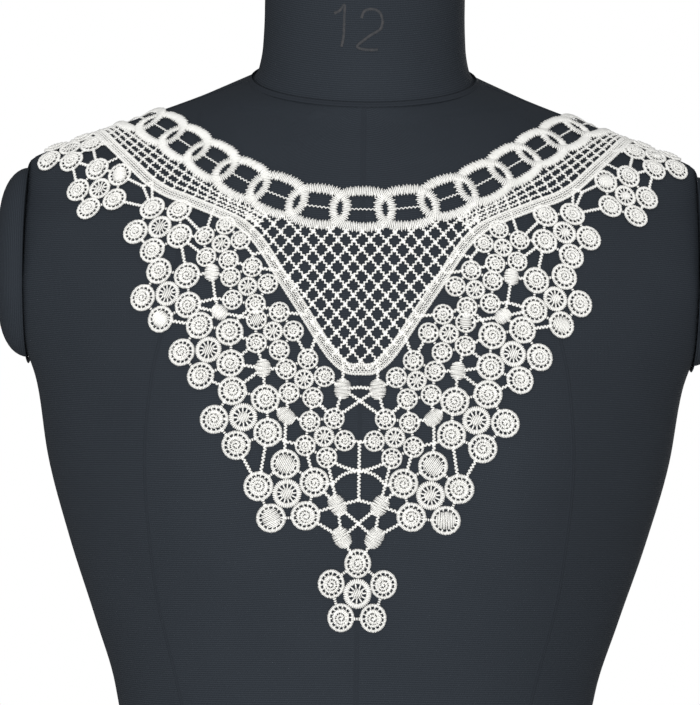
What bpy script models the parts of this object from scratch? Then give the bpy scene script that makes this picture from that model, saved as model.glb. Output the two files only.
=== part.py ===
"""White guipure lace neckline laid on a limbless dress form, in metres, +Z up, front towards -Y.

The lace is drawn flat, as it comes off the embroidery machine, and is then laid on the form as a
cloth that hardly stretches.
"""

from collections import namedtuple

import bmesh
import bpy
import numpy as np
from mathutils import Vector
from mathutils.geometry import delaunay_2d_cdt

MM = 0.001

# Dress form sections. Each is cut by a plane that passes through the side seam at its level and
# leans down towards the front, so the top one is the neck seam.
Section = namedtuple("Section", "level half_width front back shape tip_round lean")
SECTIONS = (
    Section(0.000, 0.176, 0.108, 0.114, 2.3, 3.00, 0.00),
    Section(0.045, 0.180, 0.112, 0.120, 2.3, 3.00, 0.00),
    Section(0.100, 0.173, 0.110, 0.116, 2.3, 3.00, 0.00),
    Section(0.150, 0.150, 0.098, 0.096, 2.2, 3.00, 0.00),
    Section(0.195, 0.1365, 0.090, 0.085, 2.2, 3.00, 0.00),
    Section(0.230, 0.1415, 0.091, 0.085, 2.2, 2.80, 0.00),
    Section(0.270, 0.154, 0.097, 0.090, 2.2, 2.50, 0.00),
    Section(0.318, 0.170, 0.105, 0.098, 2.3, 2.00, 0.00),
    Section(0.365, 0.183, 0.109, 0.105, 2.4, 2.00, 0.00),
    Section(0.407, 0.190, 0.107, 0.109, 2.4, 1.80, 0.00),
    Section(0.440, 0.202, 0.103, 0.110, 2.3, 1.50, 0.00),
    Section(0.475, 0.212, 0.098, 0.108, 2.0, 0.90, 0.03),
    Section(0.502, 0.213, 0.093, 0.103, 1.7, 0.40, 0.08),
    Section(0.522, 0.206, 0.088, 0.097, 1.5, 0.16, 0.15),
    Section(0.538, 0.196, 0.084, 0.090, 1.4, 0.12, 0.21),
    Section(0.551, 0.165, 0.079, 0.084, 1.4, 0.12, 0.24),
    Section(0.563, 0.134, 0.074, 0.077, 1.4, 0.15, 0.26),
    Section(0.576, 0.098, 0.068, 0.070, 1.6, 0.40, 0.29),
    Section(0.588, 0.067, 0.063, 0.063, 2.0, 4.00, 0.32),
)
CENTRE_SOFTNESS = 0.16

# The bust is one soft rise a side, as a padded form has.
BUST_X = 0.094
BUST_LEVEL = 0.362
BUST_RISE = 0.017
BUST_REACH_X = 0.050
BUST_REACH_UP = 0.070
BUST_REACH_DOWN = 0.080

# The lace's flat pattern is measured from the centre front line at this level.
PATTERN_LEVEL = 0.430
PATTERN_STEP = 0.002
PATTERN_WIDE = 0.194
PATTERN_DOWN = -0.190
PATTERN_UP = 0.230


def smooth_columns(sections, levels):
    """The sections' columns at these levels, along monotone cubic curves that never overshoot."""
    table = np.array(sections, float)
    x, y = table[:, 0], table[:, 1:]
    step = np.diff(x)[:, None]
    slope = np.diff(y, axis=0) / step
    before, after = slope[:-1], slope[1:]
    same_way = before * after > 0
    with np.errstate(divide="ignore", invalid="ignore"):
        middle = np.where(same_way, 2 * before * after / (before + after), 0.0)
    tangent = np.vstack([slope[:1], middle, slope[-1:]])
    levels = np.clip(np.asarray(levels, float), x[0], x[-1])
    i = np.clip(np.searchsorted(x, levels, side="right") - 1, 0, len(x) - 2)
    h = step[i]
    t = ((levels - x[i]) / h[..., 0])[..., None]
    return (
        (2 * t**3 - 3 * t**2 + 1) * y[i]
        + (t**3 - 2 * t**2 + t) * h * tangent[i]
        + (3 * t**2 - 2 * t**3) * y[i + 1]
        + (t**3 - t**2) * h * tangent[i + 1]
    )


def form_points(x, level, front):
    """Points of the form's front or back surface at these distances from its centre line."""
    c = smooth_columns(SECTIONS, level)
    half_width, front_depth, back_depth, shape, tip_round, lean = np.moveaxis(c, -1, 0)
    share = np.clip(np.abs(x) / half_width, 0.0, 1.0)
    soft = CENTRE_SOFTNESS
    bulge = (share**2 + soft**2) ** (shape / 2) - soft**shape
    inset = 1.0 - bulge / ((1 + soft**2) ** (shape / 2) - soft**shape)
    inset = np.clip(inset, 0.0, 1.0)
    depth = np.sqrt((inset**2 + 2 * tip_round * inset) / (1 + 2 * tip_round))
    above = level > BUST_LEVEL
    reach = np.where(above, BUST_REACH_UP, BUST_REACH_DOWN)
    bust = BUST_RISE * np.exp(
        -(((np.abs(x) - BUST_X) / BUST_REACH_X) ** 2) - ((level - BUST_LEVEL) / reach) ** 2
    )
    front_y = -(front_depth + bust) * depth
    y = np.where(front, front_y, back_depth * depth)
    return np.stack([x, y, level + lean * y], axis=-1)


def ridge_level(x):
    """The level where the form is just this wide: its shoulder line, or the neck seam."""
    low, high = 0.500, SECTIONS[-1].level
    if x <= SECTIONS[-1].half_width:
        return high
    for _ in range(50):
        middle = (low + high) / 2
        if smooth_columns(SECTIONS, [middle])[0, 0] > x:
            low = middle
        else:
            high = middle
    return low


def pattern_cloth():
    """Form points under the flat pattern: one column each PATTERN_STEP out, rows by length."""
    rows = np.arange(PATTERN_DOWN, PATTERN_UP + 1e-9, PATTERN_STEP)
    columns = []
    for x in np.arange(0, PATTERN_WIDE + 1e-9, PATTERN_STEP):
        ridge = ridge_level(x)
        run = np.linspace(0, 1, 400)
        up = ridge - (ridge - 0.2) * (1 - run) ** 2
        front = form_points(np.full_like(up, x), up, True)
        back = form_points(np.full_like(up, x), up[::-1], False)
        line = np.vstack([front, back[1:]])
        if x <= SECTIONS[-1].half_width:
            line = front
        length = np.concatenate([[0], np.cumsum(np.linalg.norm(np.diff(line, axis=0), axis=1))])
        length -= np.interp(PATTERN_LEVEL, up, length[: len(up)])
        column = np.stack([np.interp(rows, length, line[:, k]) for k in range(3)], axis=-1)
        beyond = (rows - length[-1]).clip(min=0)[:, None]
        columns.append(column + beyond * (line[-1] - line[-2]) / (length[-1] - length[-2]))
    cloth = np.array(columns)
    mirrored = cloth[:0:-1] * (-1, 1, 1)
    return np.concatenate([mirrored, cloth])


CLOTH = pattern_cloth()


def sample(grid, across, up):
    i = (np.asarray(across) + PATTERN_WIDE) / PATTERN_STEP
    j = (np.asarray(up) - PATTERN_DOWN) / PATTERN_STEP
    i = np.clip(i, 0, grid.shape[0] - 1.001)
    j = np.clip(j, 0, grid.shape[1] - 1.001)
    a, b = i.astype(int), j.astype(int)
    s, t = (i - a)[..., None], (j - b)[..., None]
    low = grid[a, b] * (1 - s) + grid[a + 1, b] * s
    high = grid[a, b + 1] * (1 - s) + grid[a + 1, b + 1] * s
    return low * (1 - t) + high * t


OUTWARD = np.cross(np.gradient(CLOTH, axis=0), np.gradient(CLOTH, axis=1))
OUTWARD /= np.linalg.norm(OUTWARD, axis=-1, keepdims=True)


def lay(across, up, lift):
    """The flat pattern's points, in mm, laid on the form and lifted off it along its normal."""
    across = np.asarray(across, float) * MM
    up = np.asarray(up, float) * MM
    normal = sample(OUTWARD, across, up)
    normal /= np.linalg.norm(normal, axis=-1, keepdims=True)
    return sample(CLOTH, across, up) + normal * np.asarray(lift, float)[..., None] * MM


def stretch_at(across, up):
    """The matrix that turns a small true step on the cloth here into a step of the pattern."""
    tiny = 1.0
    across_way = (lay(across + tiny, up, 0) - lay(across - tiny, up, 0)) / (2 * tiny * MM)
    up_way = (lay(across, up + tiny, 0) - lay(across, up - tiny, 0)) / (2 * tiny * MM)
    up_length = np.linalg.norm(up_way)
    along = across_way @ up_way / up_length
    side = np.sqrt(across_way @ across_way - along**2)
    return np.linalg.inv(np.array([[side, 0.0], [along, up_length]]))


def turned(points, degrees):
    a = np.radians(degrees)
    return np.asarray(points) @ np.array([[np.cos(a), np.sin(a)], [-np.sin(a), np.cos(a)]])


def placed(points, across, up, degrees=0.0):
    """A small true shape in mm, turned and put down at a place of the pattern."""
    return turned(points, degrees) @ stretch_at(across, up).T + (across, up)


def oval(half_long, half_wide, count, squareness=2.0, start=0.5):
    a = 2 * np.pi * (np.arange(count) + start) / count
    c, s = np.cos(a), np.sin(a)
    power = 2.0 / squareness
    return np.stack(
        [half_long * np.sign(c) * np.abs(c) ** power, half_wide * np.sign(s) * np.abs(s) ** power],
        axis=-1,
    )


# Everything below is in mm. Places are on the flat pattern's right half, seen from the front.
LACE_LIFT = 0.6
LACE_WALL = 1.5
SEAM_GAP = 0.3
BAR_WIDE = 2.0
PETAL_RISE = 0.9
BEAD_RISE = 1.3

Flower = namedtuple("Flower", "name across up turn petal_out petal_radius tall", defaults=(1.0,))
FLOWERS = (
    Flower("F1", 171.5, 127.5, -27, 13.9, 7.5),
    Flower("F2", 151.0, 96.0, 8, 14.2, 7.6),
    Flower("F3", 114.0, 70.0, -3, 14.7, 7.8),
    Flower("F4", 108.0, 29.5, -4, 14.9, 7.9),
    Flower("F5", 84.0, -2.5, -3, 15.2, 8.0),
    Flower("F6", 64.0, -40.0, -5, 15.8, 8.2),
    Flower("F7", 39.5, -81.0, 14, 16.2, 8.4),
    Flower("G1", 78.5, 59.5, -42, 11.3, 6.0),
    Flower("G2", 63.0, 34.0, -42, 11.3, 6.0),
    Flower("G3", 48.5, 8.5, -37, 11.3, 6.0),
    Flower("G4", 31.0, -18.0, -44, 11.3, 6.0),
    Flower("G5", 19.5, -49.5, -26, 11.5, 6.0),
)
PENDANT = Flower("P", 0.0, -136.5, -54, 15.2, 7.6, 1.13)

Bead = namedtuple("Bead", "name across up turn half_long half_wide")
BEADS = (
    Bead("B1", 83.2, 42.0, 90, 4.9, 4.6),
    Bead("B2", 78.3, 19.0, 40, 4.9, 4.3),
    Bead("B3", 53.6, -12.5, 90, 5.0, 4.6),
    Bead("B4", 40.6, -38.5, 40, 5.4, 4.5),
)
BRIDGE_BEADS = (Bead("B5", 9.7, -23.0, 90, 5.6, 4.9),)
DROP_BEADS = (
    Bead("B6", 11.7, -87.0, 60, 6.2, 4.9),
    Bead("B7", 9.0, -105.0, 60, 6.2, 5.0),
)

# Bars run between flower petals, beads and these free meeting points.
Meeting = namedtuple("Meeting", "name across up")
MEETINGS = (
    Meeting("Ja", 125.2, 98.0),
    Meeting("Jb", 60.6, 52.6),
    Meeting("Jc", 81.0, 27.0),
    Meeting("Jd", 66.7, 16.7),
    Meeting("Je", 41.0, -52.5),
    Meeting("Jf", 14.5, -75.5),
    Meeting("X1", 0.0, -22.0),
    Meeting("X2", 0.0, -29.4),
    Meeting("X3", 0.0, -52.0),
    Meeting("X4", 0.0, -68.0),
    Meeting("X5", 0.0, -84.0),
    Meeting("X6", 0.0, -97.0),
    Meeting("X7", 0.0, -120.0),
    Meeting("T1", 138.5, 120.5),
    Meeting("T2", 146.0, 131.0),
    Meeting("T3", 120.0, 100.5),
    Meeting("T4", 83.5, 82.0),
    Meeting("T5", 52.5, 54.5),
    Meeting("T6", 46.0, 43.0),
    Meeting("T7", 30.0, 18.0),
    Meeting("T8", 24.0, 8.0),
    Meeting("T9", 9.5, -10.0),
)

Bar = namedtuple("Bar", "start start_petal end end_petal")
BARS = (
    Bar("F1", 3, "T2", None),
    Bar("F1", 2, "T2", None),
    Bar("F1", 4, "F2", 1),
    Bar("F1", 3, "F2", 1),
    Bar("F1", 4, "F2", 0),
    Bar("F2", 1, "T1", None),
    Bar("F2", 2, "Ja", None),
    Bar("Ja", None, "T3", None),
    Bar("Ja", None, "F3", 1),
    Bar("F2", 3, "F3", 1),
    Bar("F3", 1, "T3", None),
    Bar("F3", 2, "G1", 1),
    Bar("F3", 3, "G1", 1),
    Bar("F3", 3, "G1", 0),
    Bar("G1", 1, "T4", None),
    Bar("F3", 3, "F4", 2),
    Bar("F3", 4, "F4", 1),
    Bar("F4", 2, "B1", None),
    Bar("B1", None, "G1", 0),
    Bar("B1", None, "G2", 1),
    Bar("B1", None, "Jc", None),
    Bar("Jc", None, "F4", 3),
    Bar("Jc", None, "G2", 0),
    Bar("Jc", None, "B2", None),
    Bar("F4", 3, "B2", None),
    Bar("F5", 1, "B2", None),
    Bar("F4", 4, "F5", 1),
    Bar("F4", 3, "F5", 1),
    Bar("G1", 3, "Jb", None),
    Bar("Jb", None, "T5", None),
    Bar("Jb", None, "G2", 2),
    Bar("G1", 4, "G2", 2),
    Bar("G1", 4, "G2", 1),
    Bar("G2", 2, "T6", None),
    Bar("B2", None, "Jd", None),
    Bar("Jd", None, "G3", 1),
    Bar("Jd", None, "F5", 2),
    Bar("Jd", None, "G2", 4),
    Bar("G2", 4, "G3", 1),
    Bar("G2", 4, "G3", 2),
    Bar("G3", 2, "T7", None),
    Bar("F5", 2, "G3", 0),
    Bar("F5", 3, "G3", 0),
    Bar("F5", 3, "B3", None),
    Bar("B3", None, "G3", 0),
    Bar("B3", None, "G4", 1),
    Bar("B3", None, "F6", 1),
    Bar("B3", None, "F6", 2),
    Bar("F5", 4, "F6", 1),
    Bar("G3", 4, "G4", 1),
    Bar("G3", 3, "G4", 2),
    Bar("G4", 2, "T8", None),
    Bar("F6", 2, "G4", 0),
    Bar("F6", 2, "B4", None),
    Bar("B4", None, "G4", 0),
    Bar("B4", None, "G5", 1),
    Bar("G4", 4, "G5", 1),
    Bar("G4", 4, "G5", 2),
    Bar("B4", None, "Je", None),
    Bar("Je", None, "G5", 0),
    Bar("Je", None, "F6", 3),
    Bar("Je", None, "F7", 1),
    Bar("F6", 3, "F7", 0),
    Bar("F6", 4, "F7", 0),
    Bar("F7", 2, "G5", 0),
)
BRIDGE_BARS = (
    Bar("B5", None, "T9", None),
    Bar("B5", None, "X1", None),
    Bar("B5", None, "G4", 3),
    Bar("B5", None, "X2", None),
    Bar("X2", None, "G5", 2),
    Bar("B5", None, "G5", 2),
)
DROP_BARS = (
    Bar("X3", None, "G5", 3),
    Bar("X3", None, "X4", None),
    Bar("X4", None, "G5", 4),
    Bar("X4", None, "Jf", None),
    Bar("Jf", None, "G5", 4),
    Bar("Jf", None, "F7", 2),
    Bar("Jf", None, "B6", None),
    Bar("X4", None, "X5", None),
    Bar("X5", None, "B6", None),
    Bar("X6", None, "B6", None),
    Bar("X6", None, "B7", None),
    Bar("B6", None, "B7", None),
    Bar("B6", None, "F7", 2),
    Bar("B6", None, "F7", 3),
    Bar("B7", None, "F7", 3),
    Bar("B7", None, "X7", None),
)

TAPE_WIDE = 6.3
TAPE_LINE = (
    (0.0, -12.0), (5.5, -11.9), (9.8, -9.8), (17.5, -2.0), (32.0, 20.5), (44.5, 40.0),
    (52.0, 52.5), (58.5, 62.0), (67.0, 71.0), (77.0, 77.5), (89.0, 84.0), (101.0, 90.0),
    (111.0, 94.5), (121.0, 101.5), (130.0, 110.5), (138.6, 120.9), (147.0, 132.5),
    (155.0, 145.0), (161.5, 155.5),
)  # fmt: skip

RING_PITCH = 25.0
RINGS_A_SIDE = 7
RING_OUTER = (18.4, 13.5)
RING_INNER = (14.3, 8.3)
RING_SQUARE = 2.6
BAND_LINE = (
    (0.0, 78.8), (12.7, 79.4), (26.0, 80.8), (37.1, 84.0), (48.0, 89.0), (58.1, 94.5),
    (67.5, 100.5), (76.4, 107.3), (93.5, 122.3), (110.0, 138.4), (126.0, 155.0),
    (140.0, 170.5), (154.0, 187.0),
)  # fmt: skip

NET_HALF_ACROSS = 4.5
NET_HALF_UP = 5.2
NET_FIRST_HOLE = -2.0
NET_THREAD = 1.9
NET_OUT_TO = 66.0
STRIP_CELL = 7.0
STRIP_CELL_WIDE = 4.2


def curve(points, step):
    """A smooth line through the points, as evenly stepped points in true length."""
    p = np.asarray(points, float)
    mirrored = np.vstack([p[:0:-1] * (-1, 1), p])
    n = len(mirrored)
    padded = np.vstack([2 * mirrored[0] - mirrored[1], mirrored, 2 * mirrored[-1] - mirrored[-2]])
    dense = []
    for i in range(n - 1):
        a, b, c, d = padded[i : i + 4]
        for t in np.arange(0, 1, 0.05):
            dense.append(
                0.5
                * (
                    2 * b
                    + (c - a) * t
                    + (2 * a - 5 * b + 4 * c - d) * t**2
                    + (3 * b - a - 3 * c + d) * t**3
                )
            )
    dense.append(mirrored[-1])
    dense = np.array(dense)
    laid = lay(dense[:, 0], dense[:, 1], np.zeros(len(dense)))
    length = np.concatenate([[0], np.cumsum(np.linalg.norm(np.diff(laid, axis=0), axis=1))]) / MM
    length -= length[-1] / 2
    half = length[-1]
    count = int(half / step)
    stops = np.arange(-count, count + 1) * step
    return np.stack([np.interp(stops, length, dense[:, k]) for k in range(2)], axis=-1)


def true_direction(here, ahead):
    """The angle on the cloth of the way from one pattern point to another near it."""
    step = np.linalg.solve(stretch_at(*here), np.subtract(ahead, here))
    return np.degrees(np.arctan2(step[1], step[0]))


def strip(line, wide):
    """The outline of a ribbon of true width along a line of pattern points."""
    left, right = [], []
    for i, point in enumerate(line):
        before, after = line[max(i - 1, 0)], line[min(i + 1, len(line) - 1)]
        middle = (np.add(before, after)) / 2
        angle = true_direction(middle, middle + np.subtract(after, before) * 0.1)
        side = placed([(0, wide / 2), (0, -wide / 2)], point[0], point[1], angle)
        left.append(side[0])
        right.append(side[1])
    return np.array(left + right[::-1])


def bar(start, end, wide=BAR_WIDE):
    start, end = np.array(start, float), np.array(end, float)
    pieces = max(1, int(np.linalg.norm(end - start) / 6.0))
    line = [start + (end - start) * k / pieces for k in range(pieces + 1)]
    return strip(line, wide)


def petal_centres(flower):
    angles = np.radians(flower.turn + 72.0 * np.arange(5))
    ring = flower.petal_out * np.stack([np.cos(angles), np.sin(angles)], axis=-1)
    return placed(ring * (1, flower.tall), flower.across, flower.up)


def place_of(name, petal):
    for flower in FLOWERS + (PENDANT,):
        if flower.name == name:
            if petal is None:
                return np.array((flower.across, flower.up))
            return petal_centres(flower)[petal]
    for spot in BEADS + BRIDGE_BEADS + DROP_BEADS + MEETINGS:
        if spot.name == name:
            return np.array((spot.across, spot.up))
    raise ValueError(name)


def bar_shapes(table):
    return [bar(place_of(b.start, b.start_petal), place_of(b.end, b.end_petal)) for b in table]


def flower_shapes(flower, grow=0.0):
    count = 10 if flower.petal_radius > 7 else 8
    shapes = []
    for centre in petal_centres(flower):
        petal = oval(flower.petal_radius + grow, flower.petal_radius * flower.tall + grow, count)
        shapes.append(placed(petal, centre[0], centre[1]))
    web = flower.petal_out * 0.80
    centre_web = turned(oval(web, web, 10), flower.turn) * (1, flower.tall)
    shapes.append(placed(centre_web, flower.across, flower.up))
    return shapes


def bead_shape(bead, grow=0.0):
    shape = oval(bead.half_long + grow, bead.half_wide + grow, 10)
    return placed(shape, bead.across, bead.up, bead.turn)


def mirrored(shape):
    return np.asarray(shape)[::-1] * (-1, 1)


def edge_loops(points, triangles):
    """The outlines round a set of triangles, and the points where two outlines meet."""
    edges = set()
    for a, b, c in triangles:
        edges.update(((a, b), (b, c), (c, a)))
    onward = {}
    for a, b in edges:
        if (b, a) not in edges:
            onward.setdefault(a, []).append(b)
    pinched = [a for a, ways in onward.items() if len(ways) > 1]
    loops, used = [], set()
    for first in onward:
        if first in used or len(onward[first]) > 1:
            continue
        loop, here = [], first
        while here not in used:
            used.add(here)
            loop.append(here)
            here = onward[here][0]
        loops.append(np.array([points[k] for k in loop]))
    return loops, [np.array(points[k]) for k in pinched]


def area_of(loop):
    x, y = loop[:, 0], loop[:, 1]
    return 0.5 * float(np.sum(x * np.roll(y, -1) - y * np.roll(x, -1)))


def tidy_loop(loop, shortest=0.9, flattest=0.08):
    """The outline without points that crowd together or lie on a straight run."""
    points = list(loop)
    i = 0
    while i < len(points) and len(points) > 4:
        ahead = points[(i + 1) % len(points)]
        if np.linalg.norm(points[i] - ahead) < shortest:
            points[i] = (points[i] + ahead) / 2
            points.pop((i + 1) % len(points))
            i = max(i - 1, 0)
        else:
            i += 1
    i = 0
    while i < len(points) and len(points) > 4:
        a, b, c = points[i - 1], points[i], points[(i + 1) % len(points)]
        way = c - a
        off = abs(way[0] * (b[1] - a[1]) - way[1] * (b[0] - a[0])) / (np.linalg.norm(way) + 1e-9)
        if off < flattest and np.linalg.norm(way) < 7.0:
            points.pop(i)
        else:
            i += 1
    return np.array(points)


def is_inside(spots, loops):
    """True where a spot lies inside the outlines, holes counted out."""
    inside = np.zeros(len(spots), bool)
    for loop in loops:
        a, b = loop, np.roll(loop, -1, axis=0)
        for (ax, ay), (bx, by) in zip(a, b):
            crosses = (ay > spots[:, 1]) != (by > spots[:, 1])
            if by != ay:
                where = ax + (spots[:, 1] - ay) * (bx - ax) / (by - ay)
                inside ^= crosses & (spots[:, 0] < where)
    return inside


def joined(shapes, rings=(), cuts=(), smallest_hole=6.0):
    """One set of outlines round all the shapes and rings, less the cuts."""
    shapes = list(shapes)
    for _ in range(4):
        outlines = shapes + [o for pair in rings for o in pair] + list(cuts)
        outlines = [o if area_of(np.asarray(o)) > 0 else o[::-1] for o in outlines]
        points, faces = [], []
        for outline in outlines:
            faces.append(list(range(len(points), len(points) + len(outline))))
            points += [Vector(p) for p in outline]
        corners, _, triangles, _, _, from_faces = delaunay_2d_cdt(points, [], faces, 0, 1e-4)
        plain, ringed = len(shapes), len(shapes) + 2 * len(rings)
        kept = []
        for triangle, owners in zip(triangles, from_faces):
            owners = set(owners)
            filled = any(k < plain for k in owners)
            for r in range(plain, ringed, 2):
                filled = filled or (r in owners and r + 1 not in owners)
            if filled and not any(k >= ringed for k in owners):
                kept.append(tuple(triangle))
        corners = [np.array(c) for c in corners]
        loops, pinched = edge_loops(corners, kept)
        if not pinched:
            break
        shapes += [p + oval(0.7, 0.7, 8) for p in pinched]
    outer = [tidy_loop(loop) for loop in loops if area_of(loop) > 12.0]
    holes = [tidy_loop(loop) for loop in loops if area_of(loop) < -smallest_hole]
    return outer + holes


def flat_triangles(loops, extra):
    points = np.concatenate(loops + ([np.asarray(extra)] if len(extra) else []))
    edges, start = [], 0
    for loop in loops:
        n = len(loop)
        edges += [(start + k, start + (k + 1) % n) for k in range(n)]
        start += n
    corners, _, triangles, _, _, _ = delaunay_2d_cdt(
        [Vector(p) for p in points], edges, [], 0, 1e-4
    )
    corners = np.array([tuple(c) for c in corners])
    triangles = np.array([tuple(t) for t in triangles])
    middles = corners[triangles].mean(axis=1)
    return corners, triangles[is_inside(middles, loops)]


def largest_part(corners, triangles):
    """The triangles that hang together in one piece, without loose bits."""
    owner = {}
    for t, triangle in enumerate(triangles):
        for k in range(3):
            edge = tuple(sorted((triangle[k], triangle[(k + 1) % 3])))
            owner.setdefault(edge, []).append(t)
    group = -np.ones(len(triangles), int)
    sizes = []
    for t in range(len(triangles)):
        if group[t] >= 0:
            continue
        stack, size = [t], 0.0
        group[t] = len(sizes)
        while stack:
            here = stack.pop()
            size += abs(area_of(corners[triangles[here]]))
            for k in range(3):
                edge = tuple(sorted((triangles[here][k], triangles[here][(k + 1) % 3])))
                for other in owner[edge]:
                    if group[other] < 0:
                        group[other] = len(sizes)
                        stack.append(other)
        sizes.append(size)
    return triangles[group == int(np.argmax(sizes))]


def draped_points(loops, extra, slack=0.24, rounds=5):
    """More points wherever a flat triangle would cut across the form's curve."""
    loops, extra = [np.array(loop) for loop in loops], list(extra)
    for _ in range(rounds):
        corners, triangles = flat_triangles(loops, extra)
        edges = {}
        for a, b, c in triangles:
            for pair in ((a, b), (b, c), (c, a)):
                key = tuple(sorted(pair))
                edges[key] = edges.get(key, 0) + 1
        pairs = np.array(list(edges))
        counts = np.array(list(edges.values()))
        ends = corners[pairs]
        middle = ends.mean(axis=1)
        chord = lay(ends[..., 0], ends[..., 1], np.zeros(ends.shape[:2])).mean(axis=1)
        on_form = lay(middle[:, 0], middle[:, 1], np.zeros(len(middle)))
        dip = np.linalg.norm(chord - on_form, axis=1) / MM
        added = False
        for spot in middle[(dip > slack) & (counts == 2)]:
            near = np.array(extra) if extra else np.empty((0, 2))
            if len(near) == 0 or np.min(np.linalg.norm(near - spot, axis=1)) > 2.0:
                extra.append(spot)
                added = True
        for n, loop in enumerate(loops):
            ahead = np.roll(loop, -1, axis=0)
            half = (loop + ahead) / 2
            chord = (
                lay(loop[:, 0], loop[:, 1], np.zeros(len(loop)))
                + lay(ahead[:, 0], ahead[:, 1], np.zeros(len(loop)))
            ) / 2
            dip = np.linalg.norm(chord - lay(half[:, 0], half[:, 1], np.zeros(len(half))), axis=1)
            dip /= MM
            if (dip > slack).any():
                refined = []
                for point, between, low in zip(loop, half, dip):
                    refined.append(point)
                    if low > slack:
                        refined.append(between)
                loops[n] = np.array(refined)
                added = True
        if not added:
            break
    return loops, extra


def rise_at(corners, domes):
    rise = np.zeros(len(corners))
    for across, up, radius, height in domes:
        true_step = np.linalg.solve(stretch_at(across, up), (corners - (across, up)).T).T
        share = np.linalg.norm(true_step, axis=1) / radius
        rise = np.maximum(rise, height * np.clip(1 - share**2, 0, 1))
    return rise


def cloth_solid(name, loops, domes=(), extra=(), wall=LACE_WALL):
    """The flat drawing as a solid cloth on the form, its raised spots domed on top only."""
    extra = list(extra) + [np.array(d[:2]) for d in domes]
    loops, extra = draped_points(loops, extra)
    corners, triangles = flat_triangles(loops, extra)
    triangles = largest_part(corners, triangles)
    used = np.unique(triangles)
    index = -np.ones(len(corners), int)
    index[used] = np.arange(len(used))
    corners, triangles = corners[used], index[triangles]
    n = len(corners)
    top = lay(corners[:, 0], corners[:, 1], LACE_LIFT + wall + rise_at(corners, domes))
    under = lay(corners[:, 0], corners[:, 1], np.full(n, LACE_LIFT))
    faces = [tuple(t) for t in triangles]
    directed = {(t[k], t[(k + 1) % 3]) for t in faces for k in range(3)}
    solid_faces = list(faces) + [(a + n, c + n, b + n) for a, b, c in faces]
    for a, b in sorted(directed):
        if (b, a) not in directed:
            solid_faces += [(b, a, a + n), (b, a + n, b + n)]
    return name, np.vstack([top, under]), solid_faces


def mirrored_solid(name, solid):
    _, points, faces = solid
    return name, points * (-1, 1, 1), [face[::-1] for face in faces]


def both_sides(shapes):
    return list(shapes) + [mirrored(s) for s in shapes]


def both_sides_domes(beads):
    return [(side * b.across, b.up, b.half_wide, BEAD_RISE) for b in beads for side in (1, -1)]


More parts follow.
